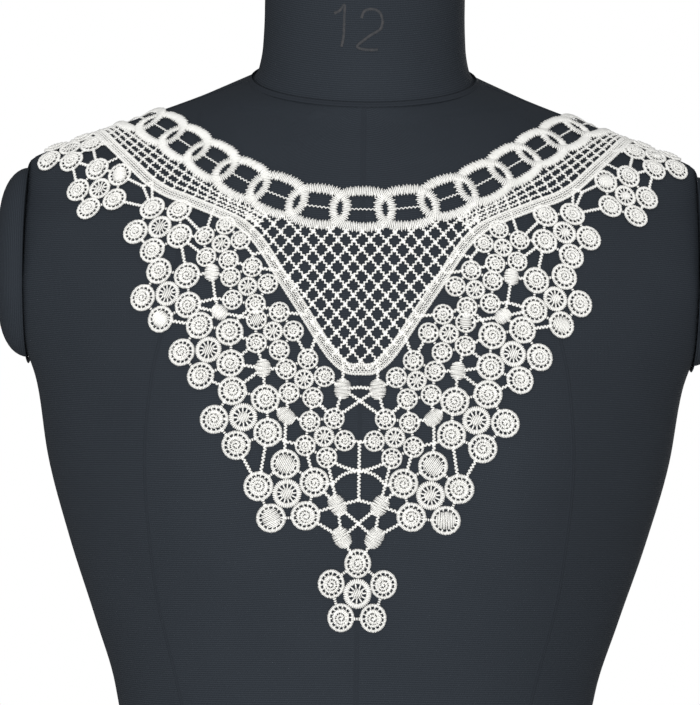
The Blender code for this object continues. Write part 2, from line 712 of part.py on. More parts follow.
def lace_pieces():
    ends = curve(TAPE_LINE, 6.0)
    tape = strip(ends, TAPE_WIDE)
    tape_cut = strip(ends, TAPE_WIDE + 2 * SEAM_GAP)
    pieces = [cloth_solid("tape_edging", joined([tape]))]

    band_line = curve(BAND_LINE, RING_PITCH / 20)
    middle = len(band_line) // 2
    rings, ring_cuts, ring_bars = [], [], []
    for k in range(-RINGS_A_SIDE, RINGS_A_SIDE + 1):
        here = band_line[middle + 20 * k]
        ahead, behind = band_line[middle + 20 * k + 4], band_line[middle + 20 * k - 4]
        angle = true_direction(here, here + (ahead - behind) * 0.2)
        outer = oval(*RING_OUTER, 20, RING_SQUARE)
        inner = oval(*RING_INNER, 14, RING_SQUARE)
        grown = oval(RING_OUTER[0] + SEAM_GAP, RING_OUTER[1] + SEAM_GAP, 20, RING_SQUARE)
        rings.append((placed(outer, *here, angle), placed(inner, *here, angle)))
        ring_cuts.append(placed(grown, *here, angle))
        reach = RING_PITCH - RING_OUTER[0] + 1.5
        side = 1 if k > 0 else -1
        beyond = RING_INNER[0] + 1.2 - reach if abs(k) == RINGS_A_SIDE else 0.0
        cross_bar = oval(reach + beyond / 2, 1.0, 4, 2.0, 0.5) * (1.414, 1.414)
        cross_bar = cross_bar + (side * beyond / 2, 0)
        ring_bars.append(placed(cross_bar, *here, angle))
    pieces.append(cloth_solid("neck_ring_band", joined(ring_bars, rings, smallest_hole=12.0)))

    threads = []
    for row in range(0, 20):
        for column in range(-16, 17):
            across = (column + 0.5 * (row % 2)) * 2 * NET_HALF_ACROSS
            up = NET_FIRST_HOLE + row * NET_HALF_UP
            if abs(across) > NET_OUT_TO:
                continue
            threads.append((across, up))
    slope = np.hypot(NET_HALF_ACROSS, NET_HALF_UP)
    shrink = 1 - NET_THREAD * slope / (2 * NET_HALF_ACROSS * NET_HALF_UP)
    hole = oval(NET_HALF_ACROSS * shrink, NET_HALF_UP * shrink, 4, 2.0, 0.0)
    holes = [hole + spot for spot in threads]
    tape_half = curve(TAPE_LINE, STRIP_CELL / 2)
    start = len(tape_half) // 2
    cell_shapes = []
    for k in range(int(NET_OUT_TO * 2 / STRIP_CELL) + 7, start - 3, 1):
        if k % 2:
            continue
        here = tape_half[start + k]
        angle = true_direction(here, here + (tape_half[start + k + 1] - tape_half[start + k - 1]) * 0.2)
        out = TAPE_WIDE / 2 + 1.4 + STRIP_CELL_WIDE / 2
        centre = placed([(0, out)], *here, angle)[0]
        cell = oval(2.6, STRIP_CELL_WIDE / 2, 4, 2.0, 0.5) * (1.414, 1.414)
        cell_shapes.append(placed(cell, *centre, angle))
    holes += both_sides(cell_shapes)
    reach = 20 * RINGS_A_SIDE + 9
    outline = np.vstack([ends, band_line[middle - reach : middle + reach + 1][::-3]])
    inside_tape = joined([outline], cuts=[tape_cut] + ring_cuts)
    clear_holes = []
    for shape in holes:
        edge = np.vstack([shape + (shape - shape.mean(axis=0)) * 0.35])
        if is_inside(edge, inside_tape).all():
            clear_holes.append(shape)
    pieces.append(cloth_solid("net_inset", joined([outline], cuts=[tape_cut] + ring_cuts + clear_holes)))

    right = [s for f in FLOWERS for s in flower_shapes(f)]
    right += [bead_shape(b) for b in BEADS]
    right += bar_shapes(BARS)
    domes = [(*c, f.petal_radius, PETAL_RISE) for f in FLOWERS for c in petal_centres(f)]
    domes += [(b.across, b.up, b.half_wide, BEAD_RISE) for b in BEADS]
    wheels = [(f.across, f.up) for f in FLOWERS]
    panel = cloth_solid("flower_panel_right", joined(right, cuts=[tape_cut]), domes, wheels)
    pieces += [panel, mirrored_solid("flower_panel_left", panel)]

    grown = [s for f in FLOWERS for s in flower_shapes(f, SEAM_GAP + 0.1)]
    grown += [bead_shape(b, SEAM_GAP) for b in BEADS]
    cuts = [tape_cut] + both_sides(grown)
    bridge = both_sides([bead_shape(b) for b in BRIDGE_BEADS] + bar_shapes(BRIDGE_BARS))
    domes = both_sides_domes(BRIDGE_BEADS)
    pieces.append(cloth_solid("bead_bridge", joined(bridge, cuts=cuts), domes))

    drop = both_sides([bead_shape(b) for b in DROP_BEADS] + bar_shapes(DROP_BARS))
    drop += flower_shapes(PENDANT)
    domes = [(*c, PENDANT.petal_radius, PETAL_RISE) for c in petal_centres(PENDANT)]
    domes += both_sides_domes(DROP_BEADS)
    centre = [(PENDANT.across, PENDANT.up)]
    pieces.append(cloth_solid("pendant_drop", joined(drop, cuts=cuts), domes, centre))
    return pieces


# The form itself, in metres.
ARM_FACE = 0.196
ARM_CAP_OUT = 0.017
ARM_CAP_HALF_DEEP = 0.036
ARM_CAP_HALF_HIGH = 0.056
ARM_CAP_MIDDLE = (0.003, 0.478)
PART_GAP = 0.0004
TORSO_LEVELS = (
    0.000, 0.022, 0.045, 0.095, 0.125, 0.150, 0.174, 0.195, 0.216, 0.240, 0.262, 0.281, 0.298,
    0.314, 0.330, 0.346, 0.362, 0.378, 0.393, 0.407, 0.421, 0.435, 0.449, 0.462, 0.475, 0.488,
    0.500, 0.511, 0.521, 0.530, 0.538, 0.5445, 0.551, 0.5575, 0.564, 0.5705, 0.577, 0.5825, 0.588,
)  # fmt: skip
TORSO_FRONT = 28
TORSO_BACK = 12

NeckRow = namedtuple("NeckRow", "level half_width front back lean")
NECK_ROWS = (
    NeckRow(0.5884, 0.0650, 0.0610, 0.0610, 0.32),
    NeckRow(0.5950, 0.0618, 0.0585, 0.0585, 0.25),
    NeckRow(0.6080, 0.0597, 0.0567, 0.0567, 0.13),
    NeckRow(0.6280, 0.0590, 0.0560, 0.0560, 0.04),
    NeckRow(0.6550, 0.0590, 0.0560, 0.0560, 0.00),
)
NECK_AROUND = 24
NECK_CAP_HIGH = 0.0095


def stacked_rings(rings):
    """A closed skin through rings of as many points each, flat at both ends."""
    count = len(rings[0])
    faces = []
    for r in range(len(rings) - 1):
        for k in range(count):
            a, b = r * count + k, r * count + (k + 1) % count
            faces += [(a, b, b + count), (a, b + count, a + count)]
    faces.append(tuple(range(count))[::-1])
    faces.append(tuple(range((len(rings) - 1) * count, len(rings) * count)))
    return np.vstack(rings), faces


def torso_solid():
    rings = []
    front = np.pi * np.arange(TORSO_FRONT) / TORSO_FRONT
    back = np.pi * np.arange(TORSO_BACK) / TORSO_BACK
    for level in TORSO_LEVELS:
        half_width = smooth_columns(SECTIONS, [level])[0, 0]
        parts = []
        for angles, is_front, way in ((front, True, -1), (back, False, 1)):
            x = way * half_width * np.cos(angles)
            ring = form_points(x, np.full_like(x, level), is_front)
            ring[:, 0] = np.clip(ring[:, 0], -ARM_FACE, ARM_FACE)
            parts.append(ring)
        rings.append(np.vstack(parts))
    return stacked_rings(rings)


def neck_ring(row):
    a = 2 * np.pi * np.arange(NECK_AROUND) / NECK_AROUND
    y = np.sin(a) * np.where(np.sin(a) < 0, row.front, row.back)
    return np.stack([row.half_width * np.cos(a), y, row.level + row.lean * y], axis=-1)


def neck_cap_solid():
    top = NECK_ROWS[-1]
    rings = []
    for rise, share in ((0.0, 1.0), (0.55, 0.985), (0.85, 0.90), (1.0, 0.62)):
        row = top._replace(half_width=top.half_width * share, front=top.front * share,
                           back=top.back * share,
                           level=top.level + PART_GAP + rise * NECK_CAP_HIGH)  # fmt: skip
        rings.append(neck_ring(row))
    return stacked_rings(rings)


def arm_cap_solid(side):
    y, z = ARM_CAP_MIDDLE
    a = 2 * np.pi * np.arange(16) / 16
    rings = []
    for out, share in ((0.0, 1.0), (0.45, 0.96), (0.82, 0.80), (1.0, 0.50)):
        x = np.full(len(a), ARM_FACE + PART_GAP + out * ARM_CAP_OUT)
        rings.append(
            np.stack(
                [
                    side * x,
                    y + share * ARM_CAP_HALF_DEEP * np.cos(a),
                    z + share * ARM_CAP_HALF_HIGH * np.sin(a),
                ],
                axis=-1,
            )
        )
    points, faces = stacked_rings(rings)
    return points, faces if side > 0 else [face[::-1] for face in faces]


def cloth_material(name, colour, roughness):
    material = bpy.data.materials.new(name)
    material.use_nodes = True
    shader = material.node_tree.nodes["Principled BSDF"]
    shader.inputs["Base Color"].default_value = (*colour, 1.0)
    shader.inputs["Roughness"].default_value = roughness
    return material


def add_object(collection, name, points, faces, colour, roughness, sharp_degrees=50.0):
    mesh = bpy.data.meshes.new(name)
    mesh.from_pydata([tuple(p) for p in points], [], [tuple(f) for f in faces])
    work = bmesh.new()
    work.from_mesh(mesh)
    for edge in work.edges:
        if len(edge.link_faces) == 2:
            edge.smooth = bool(edge.calc_face_angle() < np.radians(sharp_degrees))
    for face in work.faces:
        face.smooth = len(face.verts) == 3
    work.to_mesh(mesh)
    work.free()
    mesh.materials.append(cloth_material(name + "_cloth", colour, roughness))
    collection.objects.link(bpy.data.objects.new(name, mesh))


LACE_COLOUR = (0.84, 0.83, 0.79)
FORM_COLOUR = (0.031, 0.036, 0.045)


def build():
    for old in list(bpy.data.objects):
        bpy.data.objects.remove(old, do_unlink=True)
    collection = bpy.data.collections.new("embroidered_neckline")
    bpy.context.scene.collection.children.link(collection)
    for name, points, faces in lace_pieces():
        add_object(collection, name, points, faces, LACE_COLOUR, 0.85)
    form = (
        ("form_torso", torso_solid()),
        ("form_neck", stacked_rings([neck_ring(row) for row in NECK_ROWS])),
        ("form_neck_cap", neck_cap_solid()),
        ("form_arm_cap_right", arm_cap_solid(1)),
        ("form_arm_cap_left", arm_cap_solid(-1)),
    )
    for name, (points, faces) in form:
        add_object(collection, name, points, faces, FORM_COLOUR, 0.9)


build()
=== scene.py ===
"""A white guipure lace neckline lying on a limbless, cloth-covered dress form, +Z up, front -Y."""

import math
from collections import namedtuple

import bpy
import numpy as np
from mathutils import Matrix, Vector


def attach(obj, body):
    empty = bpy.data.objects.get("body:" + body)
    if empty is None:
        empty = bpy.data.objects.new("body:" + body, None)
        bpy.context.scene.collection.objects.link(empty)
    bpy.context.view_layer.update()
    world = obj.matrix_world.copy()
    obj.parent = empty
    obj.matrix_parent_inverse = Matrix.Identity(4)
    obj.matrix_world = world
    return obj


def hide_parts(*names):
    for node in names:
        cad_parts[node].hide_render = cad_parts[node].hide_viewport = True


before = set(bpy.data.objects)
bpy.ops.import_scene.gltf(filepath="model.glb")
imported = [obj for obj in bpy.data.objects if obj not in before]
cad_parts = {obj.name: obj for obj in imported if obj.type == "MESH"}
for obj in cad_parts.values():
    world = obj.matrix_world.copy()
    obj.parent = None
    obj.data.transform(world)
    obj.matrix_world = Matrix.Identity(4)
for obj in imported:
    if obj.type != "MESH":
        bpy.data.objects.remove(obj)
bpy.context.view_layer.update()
MM = 0.001


# The form's body: padded, with a fine-ribbed knit cover pulled tight over it.
# Sections lean down towards the front, so the top one is the neck seam; the bust is one soft
# rise a side.
Section = namedtuple("Section", "level half_width front back shape tip_round lean")
SECTIONS = (
    Section(0.000, 0.176, 0.108, 0.114, 2.3, 3.00, 0.00),
    Section(0.045, 0.180, 0.112, 0.120, 2.3, 3.00, 0.00),
    Section(0.100, 0.173, 0.110, 0.116, 2.3, 3.00, 0.00),
    Section(0.150, 0.150, 0.098, 0.096, 2.2, 3.00, 0.00),
    Section(0.195, 0.1365, 0.090, 0.085, 2.2, 3.00, 0.00),
    Section(0.230, 0.1415, 0.091, 0.085, 2.2, 2.80, 0.00),
    Section(0.270, 0.154, 0.097, 0.090, 2.2, 2.50, 0.00),
    Section(0.318, 0.170, 0.105, 0.098, 2.3, 2.00, 0.00),
    Section(0.365, 0.183, 0.109, 0.105, 2.4, 2.00, 0.00),
    Section(0.407, 0.190, 0.107, 0.109, 2.4, 1.80, 0.00),
    Section(0.440, 0.202, 0.103, 0.110, 2.3, 1.50, 0.00),
    Section(0.475, 0.212, 0.098, 0.108, 2.0, 0.90, 0.03),
    Section(0.502, 0.213, 0.093, 0.103, 1.7, 0.40, 0.08),
    Section(0.522, 0.206, 0.088, 0.097, 1.5, 0.16, 0.15),
    Section(0.538, 0.196, 0.084, 0.090, 1.4, 0.12, 0.21),
    Section(0.551, 0.165, 0.079, 0.084, 1.4, 0.12, 0.24),
    Section(0.563, 0.134, 0.074, 0.077, 1.4, 0.15, 0.26),
    Section(0.576, 0.098, 0.068, 0.070, 1.6, 0.40, 0.29),
    Section(0.588, 0.067, 0.063, 0.063, 2.0, 4.00, 0.32),
)
CENTRE_SOFTNESS = 0.16
BUST_X, BUST_LEVEL, BUST_RISE = 0.094, 0.362, 0.017
BUST_REACH_X, BUST_REACH_UP, BUST_REACH_DOWN = 0.050, 0.070, 0.080
ARM_FACE = 0.196
TORSO_LEVELS_BETWEEN = 8
TORSO_FRONT, TORSO_BACK = 84, 52
SHARP_EDGE = math.radians(50)


def smooth_columns(sections, levels):
    """The sections' columns at these levels, along monotone cubic curves that never overshoot."""
    table = np.array(sections, float)
    x, y = table[:, 0], table[:, 1:]
    step = np.diff(x)[:, None]
    slope = np.diff(y, axis=0) / step
    before, after = slope[:-1], slope[1:]
    with np.errstate(divide="ignore", invalid="ignore"):
        middle = np.where(before * after > 0, 2 * before * after / (before + after), 0.0)
    tangent = np.vstack([slope[:1], middle, slope[-1:]])
    levels = np.clip(np.asarray(levels, float), x[0], x[-1])
    i = np.clip(np.searchsorted(x, levels, side="right") - 1, 0, len(x) - 2)
    h = step[i]
    t = ((levels - x[i]) / h[..., 0])[..., None]
    return (
        (2 * t**3 - 3 * t**2 + 1) * y[i]
        + (t**3 - 2 * t**2 + t) * h * tangent[i]
        + (3 * t**2 - 2 * t**3) * y[i + 1]
        + (t**3 - t**2) * h * tangent[i + 1]
    )


def form_points(x, level, front):
    """Points of the form's front or back surface at these distances from its centre line."""
    c = smooth_columns(SECTIONS, level)
    half_width, front_depth, back_depth, shape, tip_round, lean = np.moveaxis(c, -1, 0)
    share = np.clip(np.abs(x) / half_width, 0.0, 1.0)
    soft = CENTRE_SOFTNESS
    bulge = (share**2 + soft**2) ** (shape / 2) - soft**shape
    inset = np.clip(1.0 - bulge / ((1 + soft**2) ** (shape / 2) - soft**shape), 0.0, 1.0)
    depth = np.sqrt((inset**2 + 2 * tip_round * inset) / (1 + 2 * tip_round))
    reach = np.where(level > BUST_LEVEL, BUST_REACH_UP, BUST_REACH_DOWN)
    bust = BUST_RISE * np.exp(
        -(((np.abs(x) - BUST_X) / BUST_REACH_X) ** 2) - ((level - BUST_LEVEL) / reach) ** 2
    )
    y = np.where(front, -(front_depth + bust) * depth, back_depth * depth)
    return np.stack([x, y, level + lean * y], axis=-1)


def nodes_of(material):
    material.use_nodes = True
    tree = material.node_tree
    return tree, tree.nodes["Principled BSDF"]


def made(tree, kind, **values):
    """A new node in the tree, with its inputs set by name or number or linked from a socket."""
    node = tree.nodes.new(kind)
    inputs = values.pop("inputs", {})
    for name, value in values.items():
        setattr(node, name, value)
    for name, value in inputs.items():
        if isinstance(value, bpy.types.NodeSocket):
            tree.links.new(value, node.inputs[name])
        else:
            node.inputs[name].default_value = value
    return node


def knit_material(name, colour, mottle_and_lit_crest_colour, rib_pitch=1.25 * MM):
    """Charcoal navy knit: ribs run round the form and fine columns of loops cross them; its colour is a
    random mottle plus painted shade in the rib and loop grooves and painted light on their crests.
    """
    material = bpy.data.materials.new(name)
    tree, shader = nodes_of(material)
    run = made(tree, "ShaderNodeUVMap", uv_map="cloth_run").outputs[0]
    parts = made(tree, "ShaderNodeSeparateXYZ", inputs={0: run}).outputs
    waves = []
    for along, pitch in ((parts[1], rib_pitch), (parts[0], rib_pitch * 0.8)):
        turns = made(tree, "ShaderNodeMath", operation="MULTIPLY", inputs={0: along, 1: math.tau / pitch})
        wave = made(tree, "ShaderNodeMath", operation="SINE", inputs={0: turns.outputs[0]})
        waves.append(wave.outputs[0])
    place = made(tree, "ShaderNodeTexCoord").outputs["Object"]
    cloudy = made(tree, "ShaderNodeTexNoise", inputs={"Vector": place, "Scale": 22.0, "Detail": 5.0})
    fuzz = made(tree, "ShaderNodeTexNoise", inputs={"Vector": place, "Scale": 900.0, "Detail": 3.0})
    loops = made(tree, "ShaderNodeMath", operation="MULTIPLY", inputs={0: waves[1], 1: 0.35})
    weave = made(tree, "ShaderNodeMath", operation="ADD", inputs={0: waves[0], 1: loops.outputs[0]})
    # Painted shade and light: the rib and loop waves darken the colour in their grooves and lighten it on
    # their crests, over a random mottle from the cloudy noise.
    soft = made(tree, "ShaderNodeMapRange",
                inputs={"Value": cloudy.outputs["Fac"], "To Min": 0.42, "To Max": 0.62})
    shade = made(tree, "ShaderNodeMath", operation="MULTIPLY_ADD",
                 inputs={0: weave.outputs[0], 1: 0.22, 2: soft.outputs["Result"]})
    mottle_and_groove_shade = made(tree, "ShaderNodeMapRange",
                 inputs={"Value": shade.outputs[0], "From Min": 0.2, "From Max": 0.85})
    mixed = made(tree, "ShaderNodeMix", data_type="RGBA",
                 inputs={"Factor": mottle_and_groove_shade.outputs["Result"], 6: (*colour, 1), 7: (*mottle_and_lit_crest_colour, 1)})
    tree.links.new(mixed.outputs[2], shader.inputs["Base Color"])
    raised = made(tree, "ShaderNodeMath", operation="MULTIPLY_ADD",
                  inputs={0: fuzz.outputs["Fac"], 1: 1.2, 2: weave.outputs[0]})
    bump = made(tree, "ShaderNodeBump",
                inputs={"Strength": 0.5, "Distance": 0.16 * MM, "Height": raised.outputs[0]})
    tree.links.new(bump.outputs["Normal"], shader.inputs["Normal"])
    shader.inputs["Roughness"].default_value = 0.9
    shader.inputs["Specular IOR Level"].default_value = 0.12
    return material


def skin(name, rings, material):
    """A closed skin through rings of as many points each, flat at both ends, with a run in metres."""
    rings = np.array(rings)
    rows, count = rings.shape[:2]
    faces = []
    for r in range(rows - 1):
        for k in range(count):
            a, b = r * count + k, r * count + (k + 1) % count
            faces.append((a, b, b + count, a + count))
    faces.append(tuple(range(count))[::-1])
    faces.append(tuple(range((rows - 1) * count, rows * count)))
    mesh = bpy.data.meshes.new(name)
    mesh.from_pydata(rings.reshape(-1, 3).tolist(), [], faces)
    wrapped = np.concatenate([rings, rings[:, :1]], axis=1)
    around = np.linalg.norm(np.diff(wrapped, axis=1), axis=2).cumsum(axis=1)
    around = np.hstack([np.zeros((rows, 1)), around])
    up = np.linalg.norm(np.diff(wrapped, axis=0), axis=2).cumsum(axis=0)
    up = np.vstack([np.zeros((1, count + 1)), up])
    layer = mesh.uv_layers.new(name="cloth_run").data
    corner = 0
    for r in range(rows - 1):
        for k in range(count):
            for rr, kk in ((r, k), (r, k + 1), (r + 1, k + 1), (r + 1, k)):
                layer[corner].uv = (around[rr, kk], up[rr, kk])
                corner += 1
    for spot in wrapped[0, :-1][::-1].tolist() + wrapped[-1, :-1].tolist():
        layer[corner].uv = (spot[0], spot[1])
        corner += 1
    mesh.shade_smooth()
    mesh.set_sharp_from_angle(angle=SHARP_EDGE)
    mesh.materials.append(material)
    piece = bpy.data.objects.new(name, mesh)
    bpy.context.scene.collection.objects.link(piece)
    return piece


def covers(piece, node):
    """This padded cloth stands for its CAD node."""
    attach(piece, "root")
    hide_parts(node)


# The knit's ribs carry painted shade in their grooves and painted light on their crests.
form_knit = knit_material("form_knit", (0.019, 0.0235, 0.030), (0.034, 0.041, 0.051))

levels = []
for low, high in zip(SECTIONS[:-1], SECTIONS[1:]):
    levels += list(np.linspace(low.level, high.level, TORSO_LEVELS_BETWEEN, endpoint=False))
levels.append(SECTIONS[-1].level)
torso_rings = []
for level in levels:
    half_width = smooth_columns(SECTIONS, [level])[0, 0]
    front_angle = np.pi * np.arange(TORSO_FRONT) / TORSO_FRONT
    back_angle = np.pi * np.arange(TORSO_BACK) / TORSO_BACK
    front_x, back_x = -half_width * np.cos(front_angle), half_width * np.cos(back_angle)
    ring = np.vstack([
        form_points(front_x, np.full_like(front_x, level), True),
        form_points(back_x, np.full_like(back_x, level), False),
    ])
    ring[:, 0] = np.clip(ring[:, 0], -ARM_FACE, ARM_FACE)
    torso_rings.append(ring)
covers(skin("torso_cover", torso_rings, form_knit), "form_torso")


# The neck: a straight column that flares to a slanting seam, in the same knit.
# It is padded like the body, and its round top is a separate covered disc.
NeckRow = namedtuple("NeckRow", "level half_width front back lean")
NECK_ROWS = (
    NeckRow(0.5884, 0.0650, 0.0610, 0.0610, 0.32),
    NeckRow(0.5950, 0.0618, 0.0585, 0.0585, 0.25),
    NeckRow(0.6080, 0.0597, 0.0567, 0.0567, 0.13),
    NeckRow(0.6280, 0.0590, 0.0560, 0.0560, 0.04),
    NeckRow(0.6550, 0.0590, 0.0560, 0.0560, 0.00),
)
NECK_AROUND, NECK_RINGS = 96, 40
CapRing = namedtuple("CapRing", "rise share")
NECK_CAP = (
    CapRing(0.0, 1.0), CapRing(0.25, 1.0), CapRing(0.5, 0.99), CapRing(0.7, 0.955),
    CapRing(0.85, 0.89), CapRing(0.95, 0.78), CapRing(1.0, 0.62),
)
NECK_CAP_HIGH = 0.0095
PART_GAP = 0.0004


def neck_ring(level, share=1.0, rise=0.0):
    half_width, front, back, lean = smooth_columns(NECK_ROWS, [level])[0]
    a = math.tau * np.arange(NECK_AROUND) / NECK_AROUND
    y = share * np.sin(a) * np.where(np.sin(a) < 0, front, back)
    return np.stack([share * half_width * np.cos(a), y, level + rise + lean * y], axis=-1)


neck_levels = np.linspace(NECK_ROWS[0].level, NECK_ROWS[-1].level, NECK_RINGS)
covers(skin("neck_cover", [neck_ring(level) for level in neck_levels], form_knit), "form_neck")
top = NECK_ROWS[-1].level
cap_rings = [neck_ring(top, ring.share, PART_GAP + ring.rise * NECK_CAP_HIGH) for ring in NECK_CAP]
covers(skin("neck_cap_cover", cap_rings, form_knit), "form_neck_cap")


# The armhole covers: oval padded discs in the same knit, one a side.
# They close the armholes of the limbless form.
ARM_CAP_OUT = 0.017
ARM_CAP_HALF_DEEP = 0.036
ARM_CAP_HALF_HIGH = 0.056
ARM_CAP_MIDDLE = (0.003, 0.478)
ARM_CAP_AROUND, ARM_CAP_RINGS = 72, 12
ARM_CAP_ROUNDED = math.radians(62)
for side, node in ((1, "form_arm_cap_right"), (-1, "form_arm_cap_left")):
    a = math.tau * np.arange(ARM_CAP_AROUND) / ARM_CAP_AROUND * side
    rings = []
    for turn in np.linspace(0, 1, ARM_CAP_RINGS):
        out, share = math.sin(turn * math.pi / 2), math.cos(turn * ARM_CAP_ROUNDED)
        rings.append(np.stack([
            np.full(len(a), side * (ARM_FACE + PART_GAP + out * ARM_CAP_OUT)),
            ARM_CAP_MIDDLE[0] + share * ARM_CAP_HALF_DEEP * np.cos(a),
            ARM_CAP_MIDDLE[1] + share * ARM_CAP_HALF_HIGH * np.sin(a),
        ], axis=-1))
    covers(skin(node.replace("form_", "") + "_cover", rings, form_knit), node)


# The cover's seams: two soft folded edges that meet in a groove, at the neck, centre, princess
# lines, sides, shoulders, armholes and hem. A Geometry Nodes tree draws one along each line.
SEAM_FOLD = ((-1.9, -0.25), (-1.4, 0.04), (-0.7, 0.13), (-0.24, 0.08), (0.0, -0.06),
             (0.24, 0.08), (0.7, 0.13), (1.4, 0.04), (1.9, -0.25), (0.0, -0.5))
PrincessPoint = namedtuple("PrincessPoint", "level out")
PRINCESS_LINE = (
    PrincessPoint(0.002, 0.112), PrincessPoint(0.100, 0.108), PrincessPoint(0.195, 0.092),
    PrincessPoint(0.235, 0.100), PrincessPoint(0.300, 0.114), PrincessPoint(0.370, 0.119),
    PrincessPoint(0.410, 0.116), PrincessPoint(0.450, 0.108), PrincessPoint(0.500, 0.101),
    PrincessPoint(0.540, 0.097), PrincessPoint(0.575, 0.095),
)
SEAM_FOOT = 0.002
CENTRE_SEAM_TOP, SIDE_SEAM_TOP = 0.586, 0.424
SHOULDER_SEAM_LEVELS = (0.540, 0.586)
ARM_SEAM_OUT, ARM_SEAM_ASIDE = 0.0018, 0.0002
NECK_SEAM_OUT, NECK_SEAM_UP, NECK_SEAM_SLANT = 0.0003, 0.0004, 0.7
HEM_SEAM_UP = 0.006


def path_mesh(name, lines, facing):
    """Lines as one mesh of edges, each point knowing which way is out of the cloth."""
    points, edges = [], []
    for line in lines:
        edges += [(len(points) + k, len(points) + k + 1) for k in range(len(line) - 1)]
        points += list(line)
    mesh = bpy.data.meshes.new(name)
    mesh.from_pydata(np.array(points).tolist(), edges, [])
    way = mesh.attributes.new("out_way", "FLOAT_VECTOR", "POINT")
    way.data.foreach_set("vector", np.concatenate(facing).astype(np.float32).ravel())
    return mesh


def new_tree(name, sockets):
    """An empty Geometry Nodes tree with these inputs; the modifier sets them by identifier."""
    tree = bpy.data.node_groups.new(name, "GeometryNodeTree")
    tree.interface.new_socket("Geometry", in_out="INPUT", socket_type="NodeSocketGeometry")
    tree.interface.new_socket("Geometry", in_out="OUTPUT", socket_type="NodeSocketGeometry")
    for label, kind in sockets.items():
        tree.interface.new_socket(label, in_out="INPUT", socket_type="NodeSocket" + kind)
    return tree, tree.nodes.new("NodeGroupInput").outputs, tree.nodes.new("NodeGroupOutput")


def worked(name, mesh, tree, values):
    """The plain mesh object that a tree makes of a mesh."""
    draft = bpy.data.objects.new(name + "_draft", mesh)
    bpy.context.scene.collection.objects.link(draft)
    modifier = draft.modifiers.new(tree.name, "NODES")
    modifier.node_group = tree
    for item in tree.interface.items_tree:
        if item.in_out == "INPUT" and item.name in values:
            modifier[item.identifier] = values[item.name]
    seen = draft.evaluated_get(bpy.context.evaluated_depsgraph_get())
    plain = bpy.data.meshes.new_from_object(seen)
    plain.name = name
    draft.modifiers.remove(modifier)
    bpy.data.objects.remove(draft)
    piece = bpy.data.objects.new(name, plain)
    bpy.context.scene.collection.objects.link(piece)
    return piece


def along_line_tree():
    """Sweeps a profile along each line, its upper side kept out of the cloth."""
    tree, given, result = new_tree("along_line", {"Profile": "Object", "Material": "Material"})
    line = made(tree, "GeometryNodeMeshToCurve", inputs={"Mesh": given["Geometry"]})
    way = made(tree, "GeometryNodeInputNamedAttribute", data_type="FLOAT_VECTOR",
               inputs={"Name": "out_way"})
    facing = made(tree, "GeometryNodeSetCurveNormal", mode="FREE",
                  inputs={"Curve": line.outputs[0], "Normal": way.outputs[0]})
    profile = made(tree, "GeometryNodeObjectInfo", inputs={"Object": given["Profile"]})
    outline = made(tree, "GeometryNodeMeshToCurve", inputs={"Mesh": profile.outputs["Geometry"]})
    swept = made(tree, "GeometryNodeCurveToMesh", inputs={
        "Curve": facing.outputs[0], "Profile Curve": outline.outputs[0], "Fill Caps": True})
    real = made(tree, "GeometryNodeRealizeInstances", inputs={"Geometry": swept.outputs[0]})
    finish = made(tree, "GeometryNodeSetMaterial",
                  inputs={"Geometry": real.outputs[0], "Material": given["Material"]})
    tree.links.new(finish.outputs[0], result.inputs["Geometry"])
    return tree


def outline_object(name, points):
    mesh = bpy.data.meshes.new(name)
    count = len(points)
    edges = [(k, (k + 1) % count) for k in range(count)]
    mesh.from_pydata([(y * MM, x * MM, 0) for x, y in points], edges, [])
    return bpy.data.objects.new(name, mesh)


def unit(ways):
    return ways / np.linalg.norm(ways, axis=1, keepdims=True)


def form_line(x, level, front):
    """A line on the form and the way out of it at each point."""
    x, level = np.asarray(x, float), np.asarray(level, float)
    tiny = 0.0005
    reach = smooth_columns(SECTIONS, level)[:, 0] - 2 * tiny
    inner = np.clip(x, -reach, reach)
    points = form_points(inner, level, front)
    across = form_points(inner + tiny, level, front) - form_points(inner - tiny, level, front)
    above = form_points(inner, level + tiny, front) - form_points(inner, level - tiny, front)
    out = np.cross(across, above) * (1 if front else -1)
    return points, unit(out)


princess_up = np.linspace(PRINCESS_LINE[0].level, PRINCESS_LINE[-1].level, 140)
princess = smooth_columns(PRINCESS_LINE, princess_up)[:, 0]
centre_up = np.linspace(SEAM_FOOT, CENTRE_SEAM_TOP, 140)
side_up = np.linspace(SEAM_FOOT, SIDE_SEAM_TOP, 100)
ridge_up = np.linspace(*SHOULDER_SEAM_LEVELS, 70)
seams = [form_line(np.zeros_like(centre_up), centre_up, front) for front in (True, False)]
for side in (-1, 1):
    seams += [form_line(side * princess, princess_up, front) for front in (True, False)]
    width = smooth_columns(SECTIONS, side_up)[:, 0]
    at_side = np.stack([side * width, np.zeros_like(width), side_up], axis=-1)
    seams.append((at_side, np.tile((side, 0.0, 0.0), (len(at_side), 1))))
    width = smooth_columns(SECTIONS, ridge_up)[:, 0]
    steep = np.gradient(ridge_up, width)
    on_ridge = np.stack([side * width, np.zeros_like(width), ridge_up], axis=-1)
    up_way = np.stack([-side * steep, np.zeros_like(steep), np.ones_like(steep)], axis=-1)
    seams.append((on_ridge, unit(up_way)))
    a = np.linspace(0, math.tau, 90)
    armhole = np.stack([
        np.full_like(a, side * (ARM_FACE + ARM_SEAM_ASIDE)),
        ARM_CAP_MIDDLE[0] + (ARM_CAP_HALF_DEEP + ARM_SEAM_OUT) * np.cos(a),
        ARM_CAP_MIDDLE[1] + (ARM_CAP_HALF_HIGH + ARM_SEAM_OUT) * np.sin(a),
    ], axis=-1)
    seams.append((armhole, np.tile((side, 0.0, 0.0), (len(a), 1))))
a = np.linspace(0, math.tau, 120)
top_ring = SECTIONS[-1]
